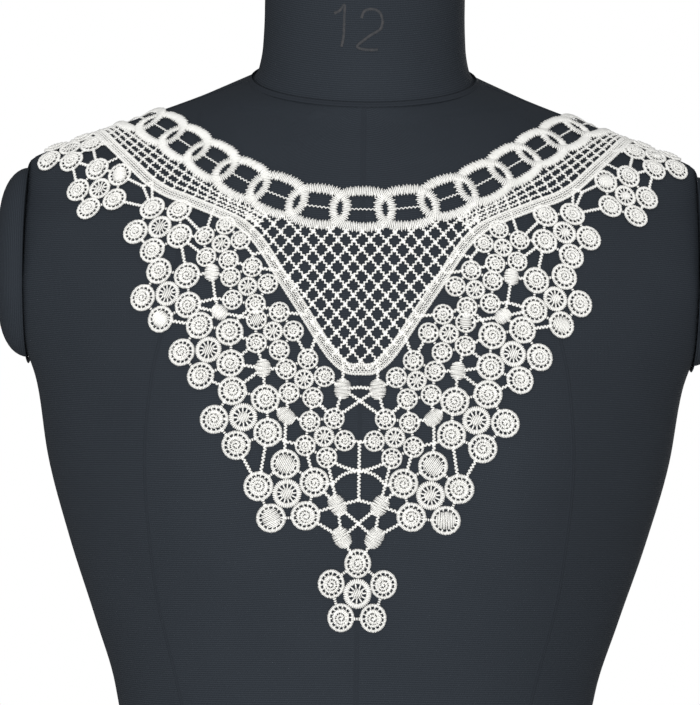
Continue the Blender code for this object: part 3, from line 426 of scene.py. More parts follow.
neck_y = np.sin(a) * (top_ring.front + NECK_SEAM_OUT)
neck_seam = np.stack([
    np.cos(a) * (top_ring.half_width + NECK_SEAM_OUT), neck_y,
    top_ring.level + NECK_SEAM_UP + top_ring.lean * neck_y,
], axis=-1)
slant = np.full_like(a, NECK_SEAM_SLANT)
seams.append((neck_seam, unit(np.stack([np.cos(a), np.sin(a), slant], axis=-1))))
hem = np.vstack([torso_rings[0], torso_rings[0][:1]]) * (1, 1, 0) + (0, 0, HEM_SEAM_UP)
seams.append((hem, unit(hem * (1, 1.6, 0))))

along_line = along_line_tree()
seam_knit = knit_material("seam_knit", (0.017, 0.021, 0.027), (0.030, 0.036, 0.045))
fold = outline_object("seam_fold", SEAM_FOLD)
seam_lines = path_mesh("seam_lines", [s[0] for s in seams], [s[1] for s in seams])
seam_piece = worked("cover_seams", seam_lines, along_line, {"Profile": fold, "Material": seam_knit})
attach(seam_piece, "root")


# The size mark on the neck: a plain 12 in thin, faded print, each stroke a flat ribbon of ink
# that follows the round of the neck.
MARK_STROKES = (
    ((-17.6, 190.6), (-14.4, 192.2), (-11.9, 195.4), (-11.8, 189.0), (-11.9, 181.6), (-12.2, 176.4),
     (-13.2, 171.4)),
    ((-2.0, 187.8), (-1.2, 190.4), (0.6, 192.4), (4.6, 193.0), (8.4, 191.2), (9.9, 187.6), (10.0, 185.0),
     (8.6, 181.4), (3.8, 178.4), (-1.4, 174.4), (-4.2, 171.8), (-2.8, 170.4), (2.0, 169.6), (7.6, 169.8)),
)
MARK_LEVEL, MARK_LEAN = 0.430, 0.06
MARK_HALF_WIDE = 0.8
MARK_INK = ((-MARK_HALF_WIDE, 0.06), (0, 0.1), (MARK_HALF_WIDE, 0.06), (MARK_HALF_WIDE, -0.3),
            (-MARK_HALF_WIDE, -0.3))


def on_neck(x, up):
    """Points this far out and this high on the front of the neck, and the ways out there."""
    y = np.zeros(len(x))
    for _ in range(4):
        half_width, front, back, lean = smooth_columns(NECK_ROWS, up - y * MARK_LEAN).T
        y = -front * np.sqrt(1 - (x / half_width) ** 2)
    way = np.stack([x / half_width**2, y / front**2, np.zeros(len(x))], axis=-1)
    return np.stack([x, y, up], axis=-1), unit(way)


def through(points, step):
    """Close points along a smooth line that passes through these."""
    ends = np.vstack([2 * points[0] - points[1], points, 2 * points[-1] - points[-2]])
    close = []
    for a, b, c, d in zip(ends, ends[1:], ends[2:], ends[3:]):
        for t in np.arange(0, 1, step):
            bend = (c - a) * t + (2 * a - 5 * b + 4 * c - d) * t**2 + (3 * b - a - 3 * c + d) * t**3
            close.append(b + 0.5 * bend)
    return np.array(close + [points[-1]])


strokes = []
for stroke in MARK_STROKES:
    marks = through(np.array(stroke) * MM, 0.2)
    strokes.append(on_neck(marks[:, 0], MARK_LEVEL + marks[:, 1]))
flat_ribbon = outline_object("mark_outline", MARK_INK)
mark_lines = path_mesh("mark_lines", [s[0] for s in strokes], [s[1] for s in strokes])
mark_print = bpy.data.materials.new("mark_print")
ink_tree, ink = nodes_of(mark_print)
ink_place = made(ink_tree, "ShaderNodeTexCoord").outputs["Object"]
worn = made(ink_tree, "ShaderNodeTexNoise", inputs={"Vector": ink_place, "Scale": 420.0, "Detail": 3.0})
worn_part = made(ink_tree, "ShaderNodeMapRange",
                 inputs={"Value": worn.outputs["Fac"], "From Min": 0.35, "From Max": 0.65})
ink_colour = made(ink_tree, "ShaderNodeMix", data_type="RGBA", inputs={
    "Factor": worn_part.outputs["Result"],
    6: (0.040, 0.044, 0.050, 1), 7: (0.062, 0.062, 0.066, 1)})
ink_tree.links.new(ink_colour.outputs[2], ink.inputs["Base Color"])
ink.inputs["Roughness"].default_value = 0.85
ink.inputs["Specular IOR Level"].default_value = 0.15
mark = worked("size_mark", mark_lines, along_line, {"Profile": flat_ribbon, "Material": mark_print})
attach(mark, "root")


# The flat pattern under the lace. Guipure is embroidered flat and then laid, so every cord is
# drawn in mm on this pattern: across is the distance from the centre line, up is the length
# along the form from the pattern's level. Tables give the half that is right as seen in front.
PATTERN_LEVEL = 0.430
PATTERN_STEP = 0.002
PATTERN_WIDE = 0.194
PATTERN_DOWN = -0.190
PATTERN_UP = 0.230
PATTERN_FOOT = 0.2
SHOULDER_FOOT = 0.500


def ridge_level(x):
    """The level where the form is just this wide: its shoulder line, or the neck seam."""
    low, high = SHOULDER_FOOT, SECTIONS[-1].level
    if x <= SECTIONS[-1].half_width:
        return high
    for _ in range(50):
        middle = (low + high) / 2
        if smooth_columns(SECTIONS, [middle])[0, 0] > x:
            low = middle
        else:
            high = middle
    return low


def pattern_cloth():
    """Form points under the flat pattern: one column each PATTERN_STEP out, rows by length."""
    rows = np.arange(PATTERN_DOWN, PATTERN_UP + 1e-9, PATTERN_STEP)
    columns = []
    for x in np.arange(0, PATTERN_WIDE + 1e-9, PATTERN_STEP):
        ridge = ridge_level(x)
        run = np.linspace(0, 1, 400)
        up = ridge - (ridge - PATTERN_FOOT) * (1 - run) ** 2
        line = form_points(np.full_like(up, x), up, True)
        if x > SECTIONS[-1].half_width:
            line = np.vstack([line, form_points(np.full_like(up, x), up[::-1], False)[1:]])
        length = np.concatenate([[0], np.cumsum(np.linalg.norm(np.diff(line, axis=0), axis=1))])
        length -= np.interp(PATTERN_LEVEL, up, length[: len(up)])
        column = np.stack([np.interp(rows, length, line[:, k]) for k in range(3)], axis=-1)
        beyond = (rows - length[-1]).clip(min=0)[:, None]
        columns.append(column + beyond * (line[-1] - line[-2]) / (length[-1] - length[-2]))
    cloth = np.array(columns)
    return np.concatenate([cloth[:0:-1] * (-1, 1, 1), cloth])


CLOTH = pattern_cloth()
OUTWARD = np.cross(np.gradient(CLOTH, axis=0), np.gradient(CLOTH, axis=1))
OUTWARD /= np.linalg.norm(OUTWARD, axis=-1, keepdims=True)


def sample(grid, across, up):
    i = np.clip((np.asarray(across) + PATTERN_WIDE) / PATTERN_STEP, 0, grid.shape[0] - 1.001)
    j = np.clip((np.asarray(up) - PATTERN_DOWN) / PATTERN_STEP, 0, grid.shape[1] - 1.001)
    a, b = i.astype(int), j.astype(int)
    s, t = (i - a)[..., None], (j - b)[..., None]
    low = grid[a, b] * (1 - s) + grid[a + 1, b] * s
    high = grid[a, b + 1] * (1 - s) + grid[a + 1, b + 1] * s
    return low * (1 - t) + high * t


def laid(across, up):
    return sample(CLOTH, np.asarray(across, float) * MM, np.asarray(up, float) * MM)


def stretch_at(across, up):
    """The matrix that turns a small true step on the cloth here into a step of the pattern."""
    across_way = (laid(across + 1, up) - laid(across - 1, up)) / (2 * MM)
    up_way = (laid(across, up + 1) - laid(across, up - 1)) / (2 * MM)
    up_length = np.linalg.norm(up_way)
    along = across_way @ up_way / up_length
    side = np.sqrt(across_way @ across_way - along**2)
    return np.linalg.inv(np.array([[side, 0.0], [along, up_length]]))


def turned(points, degrees):
    a = np.radians(degrees)
    return np.asarray(points) @ np.array([[np.cos(a), np.sin(a)], [-np.sin(a), np.cos(a)]])


def placed(points, across, up, degrees=0.0):
    """A small true shape in mm, turned and put down at a place of the pattern."""
    return turned(points, degrees) @ stretch_at(across, up).T + (across, up)


def true_step(start, end):
    """The step on the cloth from one pattern point to another near it."""
    middle = np.add(start, end) / 2
    return np.linalg.solve(stretch_at(*middle), np.subtract(end, start))


def true_direction(here, ahead):
    step = true_step(here, ahead)
    return np.degrees(np.arctan2(step[1], step[0]))


def curve(points, step):
    """A smooth symmetric line through the points, evenly stepped in true length."""
    p = np.asarray(points, float)
    both = np.vstack([p[:0:-1] * (-1, 1), p])
    dense = through(both, 0.05)
    length = np.linalg.norm(np.diff(laid(dense[:, 0], dense[:, 1]), axis=0), axis=1) / MM
    length = np.concatenate([[0], np.cumsum(length)])
    length -= length[-1] / 2
    count = int(length[-1] / step)
    stops = np.arange(-count, count + 1) * step
    return np.stack([np.interp(stops, length, dense[:, k]) for k in range(2)], axis=-1)


def beside(line, offset):
    """The line moved sideways on the cloth by a true distance, to its left."""
    moved = []
    for k, here in enumerate(line):
        ahead, behind = line[min(k + 1, len(line) - 1)], line[max(k - 1, 0)]
        angle = true_direction(here, here + (ahead - behind) * 0.3)
        moved.append(placed([(0.0, offset)], *here, angle)[0])
    return np.array(moved)


def cloth_ground():
    """The pattern's grid as a mesh that Geometry Nodes can sample by its flat map."""
    mesh = bpy.data.meshes.new("lace_ground")
    wide, high = CLOTH.shape[:2]
    faces = [(i * high + j, (i + 1) * high + j, (i + 1) * high + j + 1, i * high + j + 1)
             for i in range(wide - 1) for j in range(high - 1)]
    mesh.from_pydata(CLOTH.reshape(-1, 3).tolist(), [], faces)
    i, j = np.meshgrid(np.linspace(0, 1, wide), np.linspace(0, 1, high), indexing="ij")
    flat = np.stack([i, j, np.zeros_like(i)], axis=-1).astype(np.float32)
    mesh.attributes.new("flat_map", "FLOAT_VECTOR", "POINT").data.foreach_set("vector", flat.ravel())
    way = mesh.attributes.new("out_way", "FLOAT_VECTOR", "POINT")
    way.data.foreach_set("vector", OUTWARD.astype(np.float32).ravel())
    return bpy.data.objects.new("lace_ground", mesh)


# The thread that all the lace is worked in. One satin stitch is a round-backed loop that arches
# over its pad, with narrow ends; a Geometry Nodes tree works it along every cord.
STITCH_LENGTHWISE = ((-0.82, 0.60), (-0.34, 1.0), (0.34, 1.0), (0.82, 0.60))
STITCH_ROUND = ((-1.0, 0.35), (0.0, 1.0), (1.0, 0.35))


def stitch_object():
    """The stitch that the tree repeats: its loops of three points run from end to end."""
    points = [(0.0, -1.0, 0.1)]
    for y, share in STITCH_LENGTHWISE:
        points += [(x * (0.55 + 0.45 * share), y, z * share) for x, z in STITCH_ROUND]
    points.append((0.0, 1.0, 0.1))
    count, last = len(STITCH_ROUND), len(points) - 1
    faces = []
    for k in range(count):
        after = (k + 1) % count
        faces += [(0, 1 + k, 1 + after), (last, last - count + after, last - count + k)]
        for r in range(len(STITCH_LENGTHWISE) - 1):
            a, b = 1 + r * count, 1 + (r + 1) * count
            faces.append((a + k, b + k, b + after, a + after))
    mesh = bpy.data.meshes.new("satin_stitch")
    mesh.from_pydata(points, [], faces)
    mesh.shade_smooth()
    return bpy.data.objects.new("satin_stitch", mesh)


def satin_tree():
    """Lays flat cords on the cloth and works satin stitches across them, one each pitch."""
    tree, given, result = new_tree("satin_work", {
        "Pitch": "Float", "Fat": "Float", "Beat": "Int", "Reach": "Float", "Bold": "Float",
        "Zigzag": "Float", "Lean": "Float", "Ragged": "Float", "Seed": "Int", "Stitch": "Object",
        "Ground": "Object", "Material": "Material",
    })

    def maths(operation, a, b=0.0, c=0.0):
        return made(tree, "ShaderNodeMath", operation=operation, inputs={0: a, 1: b, 2: c}).outputs[0]

    def held(name, kind="FLOAT"):
        named = made(tree, "GeometryNodeInputNamedAttribute", data_type=kind, inputs={"Name": name})
        return named.outputs[0]

    def stored(geometry, name, value, kind="FLOAT", domain="POINT"):
        inputs = {"Geometry": geometry, "Name": name, "Value": value}
        kept = made(tree, "GeometryNodeStoreNamedAttribute", data_type=kind, domain=domain, inputs=inputs)
        return kept.outputs[0]

    def chance(low, high, salt):
        seed = maths("ADD", given["Seed"], salt)
        drawn = made(tree, "FunctionNodeRandomValue", inputs={2: low, 3: high, "Seed": seed})
        return drawn.outputs[1]

    # The flat cords go to their places on the cloth.
    ground = made(tree, "GeometryNodeObjectInfo", inputs={"Object": given["Ground"]}).outputs["Geometry"]
    flat = made(tree, "GeometryNodeInputPosition").outputs[0]
    moved = made(tree, "ShaderNodeVectorMath", operation="SUBTRACT",
                 inputs={0: flat, 1: (-PATTERN_WIDE, PATTERN_DOWN, 0)})
    size = (2 * PATTERN_WIDE, PATTERN_UP - PATTERN_DOWN, 1)
    on_map = made(tree, "ShaderNodeVectorMath", operation="DIVIDE", inputs={0: moved.outputs[0], 1: size})
    found = []
    for value in (flat, held("out_way", "FLOAT_VECTOR")):
        found.append(made(tree, "GeometryNodeSampleUVSurface", data_type="FLOAT_VECTOR", inputs={
            "Mesh": ground, "Value": value, "UV Map": held("flat_map", "FLOAT_VECTOR"),
            "Sample UV": on_map.outputs[0]}).outputs[0])
    facing = stored(given["Geometry"], "out_way", found[1], "FLOAT_VECTOR")
    out_way = held("out_way", "FLOAT_VECTOR")
    lift = made(tree, "ShaderNodeVectorMath", operation="SCALE",
                inputs={0: out_way, "Scale": held("base")})
    on_cloth = made(tree, "GeometryNodeSetPosition", inputs={
        "Geometry": facing, "Position": found[0], "Offset": lift.outputs[0]})
    cord = made(tree, "GeometryNodeMeshToCurve", inputs={"Mesh": on_cloth.outputs[0]})
    evenly = made(tree, "GeometryNodeResampleCurve", mode="LENGTH",
                  inputs={"Curve": cord.outputs[0], "Length": given["Pitch"]})

    # Each stitch lies across its cord, a little turned; those on the beat are longer and lean.
    number = made(tree, "GeometryNodeSplineParameter").outputs["Index"]
    on_beat = maths("LESS_THAN", maths("MODULO", number, given["Beat"]), 0.5)
    odd = maths("SUBTRACT", maths("MULTIPLY", maths("MODULO", number, 2.0), 2.0), 1.0)
    tangent = made(tree, "GeometryNodeInputTangent").outputs[0]
    aligned = made(tree, "FunctionNodeAxesToRotation", primary_axis="Z", secondary_axis="X",
                   inputs={"Primary Axis": out_way, "Secondary Axis": tangent})
    zigzag = maths("MULTIPLY", odd, given["Zigzag"])
    turn = maths("MULTIPLY_ADD", given["Ragged"], chance(-1.0, 1.0, 3), zigzag)
    spin = made(tree, "FunctionNodeAxisAngleToRotation", inputs={"Axis": (0, 0, 1), "Angle": turn})
    turned_way = made(tree, "FunctionNodeRotateRotation", rotation_space="LOCAL",
                      inputs={0: aligned.outputs[0], 1: spin.outputs[0]})
    uneven = maths("MULTIPLY_ADD", given["Ragged"], chance(-1.0, 1.0, 7), 1.0)
    length = maths("MULTIPLY_ADD", on_beat, given["Reach"], maths("MULTIPLY", held("wide"), uneven))
    half = maths("MULTIPLY", length, 0.5)
    lean = maths("DIVIDE", maths("MULTIPLY", on_beat, given["Lean"]), half)
    leaning = stored(evenly.outputs[0], "lean", lean)
    uneven_height = maths("MULTIPLY_ADD", given["Ragged"], chance(-0.8, 0.8, 11), 1.0)
    height = maths("MULTIPLY", held("high"), uneven_height)
    fat = maths("MULTIPLY", given["Fat"], maths("MULTIPLY_ADD", on_beat, given["Bold"], 1.0))
    scale = made(tree, "ShaderNodeCombineXYZ",
                 inputs={0: maths("MULTIPLY", given["Pitch"], fat), 1: half, 2: height})
    stitch = made(tree, "GeometryNodeObjectInfo", inputs={"Object": given["Stitch"]}).outputs["Geometry"]
    stitches = made(tree, "GeometryNodeInstanceOnPoints", inputs={
        "Points": leaning, "Instance": stitch, "Rotation": turned_way.outputs[0],
        "Scale": scale.outputs[0]})
    sideways = made(tree, "ShaderNodeCombineXYZ", inputs={1: held("lean")})
    leant = made(tree, "GeometryNodeTranslateInstances", inputs={
        "Instances": stitches.outputs[0], "Translation": sideways.outputs[0], "Local Space": True})
    toned = stored(leant.outputs[0], "tone", chance(0.0, 1.0, 17), domain="INSTANCE")
    real = made(tree, "GeometryNodeRealizeInstances", inputs={"Geometry": toned})
    smooth = made(tree, "GeometryNodeSetShadeSmooth", inputs={"Geometry": real.outputs[0]})
    finish = made(tree, "GeometryNodeSetMaterial",
                  inputs={"Geometry": smooth.outputs[0], "Material": given["Material"]})
    tree.links.new(finish.outputs[0], result.inputs["Geometry"])
    return tree


def lace_material():
    """Off-white matt embroidery thread: each stitch has its own tone, with fine twisted fibres."""
    material = bpy.data.materials.new("lace_thread")
    tree, shader = nodes_of(material)
    tone = made(tree, "ShaderNodeAttribute", attribute_name="tone").outputs["Fac"]
    place = made(tree, "ShaderNodeTexCoord").outputs["Object"]
    cloudy = made(tree, "ShaderNodeTexNoise", inputs={"Vector": place, "Scale": 60.0, "Detail": 4.0})
    fibre = made(tree, "ShaderNodeTexNoise", inputs={"Vector": place, "Scale": 3200.0, "Detail": 2.0})
    both = made(tree, "ShaderNodeMath", operation="ADD", inputs={0: tone, 1: cloudy.outputs["Fac"]})
    near = made(tree, "ShaderNodeMapRange", inputs={"Value": both.outputs[0], "From Max": 1.6})
    mixed = made(tree, "ShaderNodeMix", data_type="RGBA", inputs={
        "Factor": near.outputs["Result"], 6: (*THREAD_SHADE, 1), 7: (*THREAD_LIGHT, 1)})
    tree.links.new(mixed.outputs[2], shader.inputs["Base Color"])
    bump = made(tree, "ShaderNodeBump",
                inputs={"Strength": 0.25, "Distance": 0.08 * MM, "Height": fibre.outputs["Fac"]})
    tree.links.new(bump.outputs["Normal"], shader.inputs["Normal"])
    shader.inputs["Roughness"].default_value = 0.72
    shader.inputs["Specular IOR Level"].default_value = 0.3
    shader.inputs["Sheen Weight"].default_value = 0.15
    return material


THREAD_SHADE = (0.86, 0.855, 0.82)
THREAD_LIGHT = (0.94, 0.935, 0.91)
Cord = namedtuple("Cord", "line wide high base closed")
lace_ground = cloth_ground()
satin_stitch = stitch_object()
satin_work = satin_tree()
lace_thread = lace_material()


def stitched(name, cords, pitch, fat=0.62, beat=1, reach=0.0, bold=0.0, zigzag=0.0, lean=0.0,
             ragged=0.06, seed=1):
    """The stitches worked along these flat cords, as one plain mesh object; sizes are in mm."""
    points, edges, columns = [], [], {"wide": [], "high": [], "base": []}
    for cord in cords:
        count, start = len(cord.line), len(points)
        edges += [(start + k, start + k + 1) for k in range(count - 1)]
        if cord.closed:
            edges.append((start + count - 1, start))
        points += [(x * MM, y * MM, 0.0) for x, y in cord.line]
        for key, column in columns.items():
            column += list(np.broadcast_to(getattr(cord, key), (count,)))
    mesh = bpy.data.meshes.new(name + "_flat")
    mesh.from_pydata(points, edges, [])
    for key, column in columns.items():
        values = np.array(column, np.float32) * MM
        mesh.attributes.new(key, "FLOAT", "POINT").data.foreach_set("value", values)
    piece = worked(name, mesh, satin_work, {
        "Pitch": pitch * MM, "Fat": fat, "Beat": beat, "Reach": reach * MM, "Bold": bold,
        "Zigzag": math.radians(zigzag), "Lean": lean * MM, "Ragged": ragged,
        "Seed": seed, "Stitch": satin_stitch, "Ground": lace_ground, "Material": lace_thread})
    for attribute in list(piece.data.attributes):
        if attribute.name in ("wide", "high", "base", "lean", "out_way"):
            piece.data.attributes.remove(attribute)
    return piece


def sewn(name, parts, node):
    """Several stitched parts as one piece of lace that stands for its CAD node."""
    piece = parts[0]
    with bpy.context.temp_override(active_object=piece, selected_editable_objects=parts):
        bpy.ops.object.join()
    piece.name = name
    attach(piece, "root")
    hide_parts(node)


# The neck edge: a chain of fifteen padded satin rings, each passing over one neighbour and under
# the other, with a thin zigzag bar across its opening.
BASE = 0.5
RING_PITCH = 25.0
RING_STEPS = 20
RINGS_A_SIDE = 7
RING_OUTER = (18.4, 13.5)
RING_INNER = (14.3, 8.3)
RING_SQUARE = 2.6
RING_POINTS = 72
RING_HIGH = 1.5
RING_FULL = 1.04
RING_WEAVE = 0.3
RING_BAR_HALF, RING_BAR_END = 8.6, 15.4
RING_BAR_WIDE, RING_BAR_HIGH = 2.2, 0.9
BAND_LINE = (
    (0.0, 78.8), (12.7, 79.4), (26.0, 80.8), (37.1, 84.0), (48.0, 89.0), (58.1, 94.5),
    (67.5, 100.5), (76.4, 107.3), (93.5, 122.3), (110.0, 138.4), (126.0, 155.0),
    (140.0, 170.5), (154.0, 187.0),
)


def oval(half_long, half_wide, count, squareness=2.0):
    a = math.tau * (np.arange(count) + 0.5) / count
    c, s = np.cos(a), np.sin(a)
    power = 2.0 / squareness
    along = half_long * np.sign(c) * np.abs(c) ** power
    across = half_wide * np.sign(s) * np.abs(s) ** power
    return np.stack([along, across], axis=-1)


band_line = curve(BAND_LINE, RING_PITCH / RING_STEPS)
band_middle = len(band_line) // 2
ring_places = []
for k in range(-RINGS_A_SIDE, RINGS_A_SIDE + 1):
    at = band_middle + RING_STEPS * k
    here, step = band_line[at], band_line[at + 4] - band_line[at - 4]
    ring_places.append((here, true_direction(here, here + step * 0.2)))
rings, ring_bars = [], []
outer, inner = (oval(*size, RING_POINTS, RING_SQUARE) for size in (RING_OUTER, RING_INNER))
ring_wide = np.linalg.norm(outer - inner, axis=1) * RING_FULL
around = math.tau * (np.arange(RING_POINTS) + 0.5) / RING_POINTS
weave = BASE + RING_WEAVE * (1 + np.sin(2 * around))
for number, (here, angle) in enumerate(ring_places):
    rings.append(Cord(placed((outer + inner) / 2, *here, angle), ring_wide, RING_HIGH, weave, True))
    left = -RING_BAR_END if number == 0 else -RING_BAR_HALF
    right = RING_BAR_END if number == 2 * RINGS_A_SIDE else RING_BAR_HALF
    bar_line = placed(np.stack([np.linspace(left, right, 12), np.zeros(12)], axis=-1), *here, angle)
    ring_bars.append(Cord(bar_line, RING_BAR_WIDE, RING_BAR_HIGH, BASE, False))
band_parts = [
    stitched("ring_cords", rings, pitch=1.0, fat=0.57, beat=2, reach=1.5, bold=-0.08, ragged=0.08,
             seed=3),
    stitched("ring_bars", ring_bars, pitch=1.1, fat=0.34, zigzag=48, ragged=0.12, seed=4),
]
sewn("lace_ring_band", band_parts, "neck_ring_band")


# The net: sawtooth threads worked on the cross between band and braid, knotted where they meet,
# with lengthwise threads and slanting ties in the strips up to the shoulders.
NET_HALF_ACROSS = 4.5
NET_HALF_UP = 5.2
NET_FIRST_HOLE = -2.0
NET_OUT_TO = 66.0
NET_LINES, NET_LINE_LOW, NET_LINE_TOP, NET_LINE_STEP = 41, -14.0, 96.0, 0.8
NET_WIDE, NET_HIGH = 2.75, 1.1
NET_WOBBLE, NET_WOBBLE_LONG = 0.3, 5.5
KNOT_ROWS, KNOT_COLUMNS = 20, 16
KNOT_WIDE, KNOT_HIGH, KNOT_HALF_LONG = 2.9, 1.3, 0.55
STRIP_FROM_BRAID, STRIP_FROM_RINGS = 60.0, 46.0
STRIP_THREADS = (0.22, 0.5, 0.78)
STRIP_TIE_PITCH = 7.0
STRIP_TIE_LEAN = 3.6
TAPE_WIDE = 6.3
TAPE_LINE = (
    (0.0, -12.0), (5.5, -11.9), (9.8, -9.8), (17.5, -2.0), (32.0, 20.5), (44.5, 40.0),
    (52.0, 52.5), (58.5, 62.0), (67.0, 71.0), (77.0, 77.5), (89.0, 84.0), (101.0, 90.0),
    (111.0, 94.5), (121.0, 101.5), (130.0, 110.5), (138.6, 120.9), (147.0, 132.5),
    (155.0, 145.0), (161.5, 155.5),
)


def is_inside(spots, loop):
    """True where a spot lies inside a closed outline."""
    spots, inside = np.asarray(spots), np.zeros(len(spots), bool)
    for (ax, ay), (bx, by) in zip(loop, np.roll(loop, -1, axis=0)):
        crosses = (ay > spots[:, 1]) != (by > spots[:, 1])
        if by != ay:
            inside ^= crosses & (spots[:, 0] < ax + (spots[:, 1] - ay) * (bx - ax) / (by - ay))
    return inside


def runs(line, kept, fewest=3):
    """The unbroken stretches of a line whose points are kept."""
    found, run = [], []
    for point, keep in zip(line, list(kept)):
        if keep:
            run.append(point)
        elif run:
            found.append(np.array(run))
            run = []
    found.append(np.array(run))
    return [r for r in found if len(r) >= fewest]


tape_line = curve(TAPE_LINE, 1.0)
net_edge = np.vstack([tape_line, band_line[::-1]])
ring_mask = oval(RING_OUTER[0] - 2.4, RING_OUTER[1] - 2.4, 40, RING_SQUARE)
ring_shapes = [placed(ring_mask, *here, angle) for here, angle in ring_places]


def in_net(line):
    kept = is_inside(line, net_edge)
    for shape in ring_shapes:
        kept &= ~is_inside(line, shape)
    return kept


threads, knots = [], []
for lean in (1, -1):
    for odd in range(-NET_LINES, NET_LINES + 1, 2):
        ups = np.arange(NET_LINE_LOW, NET_LINE_TOP, NET_LINE_STEP)
        across = lean * NET_HALF_ACROSS * (odd - (ups - NET_FIRST_HOLE) / NET_HALF_UP)
        wobble = NET_WOBBLE * np.sin(ups / NET_WOBBLE_LONG + 1.7 * odd * lean)
        line = np.stack([across + wobble, ups], axis=-1)
        for run in runs(line, in_net(line) & (np.abs(across) < NET_OUT_TO)):
            threads.append(Cord(run, NET_WIDE, NET_HIGH, BASE, False))
for row in range(KNOT_ROWS):
    for column in range(-KNOT_COLUMNS, KNOT_COLUMNS + 1):
        out = (column + 0.5 * (row % 2)) * 2 * NET_HALF_ACROSS + NET_HALF_ACROSS
        up = NET_FIRST_HOLE + row * NET_HALF_UP
        if abs(out) < NET_OUT_TO and in_net([(out, up)])[0]:
            line = np.array([(out - KNOT_HALF_LONG, up), (out + KNOT_HALF_LONG, up)])
            knots.append(Cord(line, KNOT_WIDE, KNOT_HIGH, BASE, False))


def far_part(line, nearest):
    """The right-hand end of a symmetric line, from where it is this far out."""
    half = line[len(line) // 2 :]
    return half[half[:, 0] >= nearest]


def evened(line, share):
    """The line's points at these shares of its way."""
    stops = np.linspace(0, 1, len(line))
    return np.stack([np.interp(share, stops, line[:, k]) for k in (0, 1)], axis=-1)


last_ring = band_middle + RING_STEPS * RINGS_A_SIDE
share = np.linspace(0, 1, 120)
low = evened(far_part(tape_line, STRIP_FROM_BRAID), share)
high = evened(far_part(band_line[: last_ring + RING_STEPS // 2], STRIP_FROM_RINGS), share)


def between(near, far, part):
    """The point this share of the way over the open strip, clear of the braid and the rings."""
    whole = np.linalg.norm(true_step(near, far))
    reach = TAPE_WIDE / 2 + part * (whole - TAPE_WIDE / 2 - RING_OUTER[1] + 1.0)
    return near + (far - near) * reach / whole


strips = []
for part in STRIP_THREADS:
    strips.append(np.array([between(a, b, part) for a, b in zip(low, high)]))
length = np.cumsum(np.concatenate([[0], np.linalg.norm(np.diff(low, axis=0), axis=1)]))
for start in np.arange(2.0, length[-1] - STRIP_TIE_LEAN, STRIP_TIE_PITCH):
    tie = []
    for part in np.linspace(-0.05, 1.0, 10):
        spot = np.interp(start + STRIP_TIE_LEAN * part, length, share) * (len(share) - 1)
        k = min(int(spot), len(share) - 2)
        near = low[k] + (low[k + 1] - low[k]) * (spot - k)
        far = high[k] + (high[k + 1] - high[k]) * (spot - k)
        tie.append(between(near, far, part))
    strips.append(np.array(tie))
for line in strips:
    for side in (1, -1):
        threads.append(Cord(line * (side, 1), NET_WIDE, NET_HIGH, BASE, False))
net_parts = [
    stitched("net_threads", threads, pitch=1.15, fat=0.46, zigzag=45, ragged=0.14, seed=11),
    stitched("net_knots", knots, pitch=0.55, fat=0.8, ragged=0.12, seed=12),
]
sewn("lace_net", net_parts, "net_inset")


# The braid under the net: two firm satin edges with three rows of zigzag thread between them,
# which leave rows of pinholes. It runs from one shoulder down to the centre and up to the other.
EDGE_CORD_WIDE, EDGE_CORD_OUT = 1.7, 2.5
INNER_ROW_WIDE, INNER_ROW_OUT = 1.5, 1.25
EDGE_CORD_HIGH, INNER_ROW_HIGH = 1.4, 1.2
edges = [Cord(beside(tape_line, way * EDGE_CORD_OUT), EDGE_CORD_WIDE, EDGE_CORD_HIGH, BASE, False)
         for way in (1, -1)]
rows = [Cord(beside(tape_line, way * INNER_ROW_OUT), INNER_ROW_WIDE, INNER_ROW_HIGH, BASE, False)
        for way in (1, 0, -1)]
tape_parts = [
    stitched("braid_edges", edges, pitch=0.95, beat=2, reach=0.4, ragged=0.1, seed=21),
    stitched("braid_rows", rows, pitch=1.0, fat=0.44, zigzag=35, ragged=0.16, seed=22),
]
sewn("lace_braid", tape_parts, "tape_edging")


# The flowers: each has five petals round a wheel. A petal is a satin rim and a cord coiled inside
# it; every fourth stitch of the rim reaches over to the coil, so that dashes of cloth show between.
# A few petals hold a pad instead. Bars and satin beads join the flowers, one ladder a side.
Flower = namedtuple(
    "Flower", "name across up turn petal_out petal_radius tall", defaults=(1.0,)
)
FLOWERS = (
    Flower("F1", 171.5, 127.5, -27, 13.9, 7.5),
    Flower("F2", 151.0, 96.0, 8, 14.2, 7.6),
    Flower("F3", 114.0, 70.0, -3, 14.7, 7.8),
    Flower("F4", 108.0, 29.5, -4, 14.9, 7.9),
    Flower("F5", 84.0, -2.5, -3, 15.2, 8.0),
    Flower("F6", 64.0, -40.0, -5, 15.8, 8.2),
    Flower("F7", 39.5, -81.0, 14, 16.2, 8.4),
    Flower("G1", 78.5, 59.5, -42, 11.3, 6.0),
    Flower("G2", 63.0, 34.0, -42, 11.3, 6.0),
    Flower("G3", 48.5, 8.5, -37, 11.3, 6.0),
    Flower("G4", 31.0, -18.0, -44, 11.3, 6.0),
    Flower("G5", 19.5, -49.5, -26, 11.5, 6.0),
)
PADDED_PETALS = (("F7", 1), ("F7", 4), ("F2", 2), ("F4", 4), ("G3", 1))
PETAL_RIM, PETAL_COIL, RIM_GAP, COIL_GAP = 0.262, 0.2, 0.85, 0.2
PETAL_HIGH = 1.5
PETAL_DOME = 0.75
PETAL_PAD_HIGH = 2.4
COIL_FIRST_TURN, COIL_STEP = 0.8, 0.025
PAD_SQUARE, PAD_EDGE_HIGH, PAD_FULL, PAD_END = 2.4, 0.9, 2.1, 0.94
TIE_HALF_LONG, TIE_WIDE, TIE_HIGH = 1.3, 1.8, 1.2
WHEEL_RIM_IN, WHEEL_HUB, SPOKE_PITCH = 0.62, 0.39, 2.3
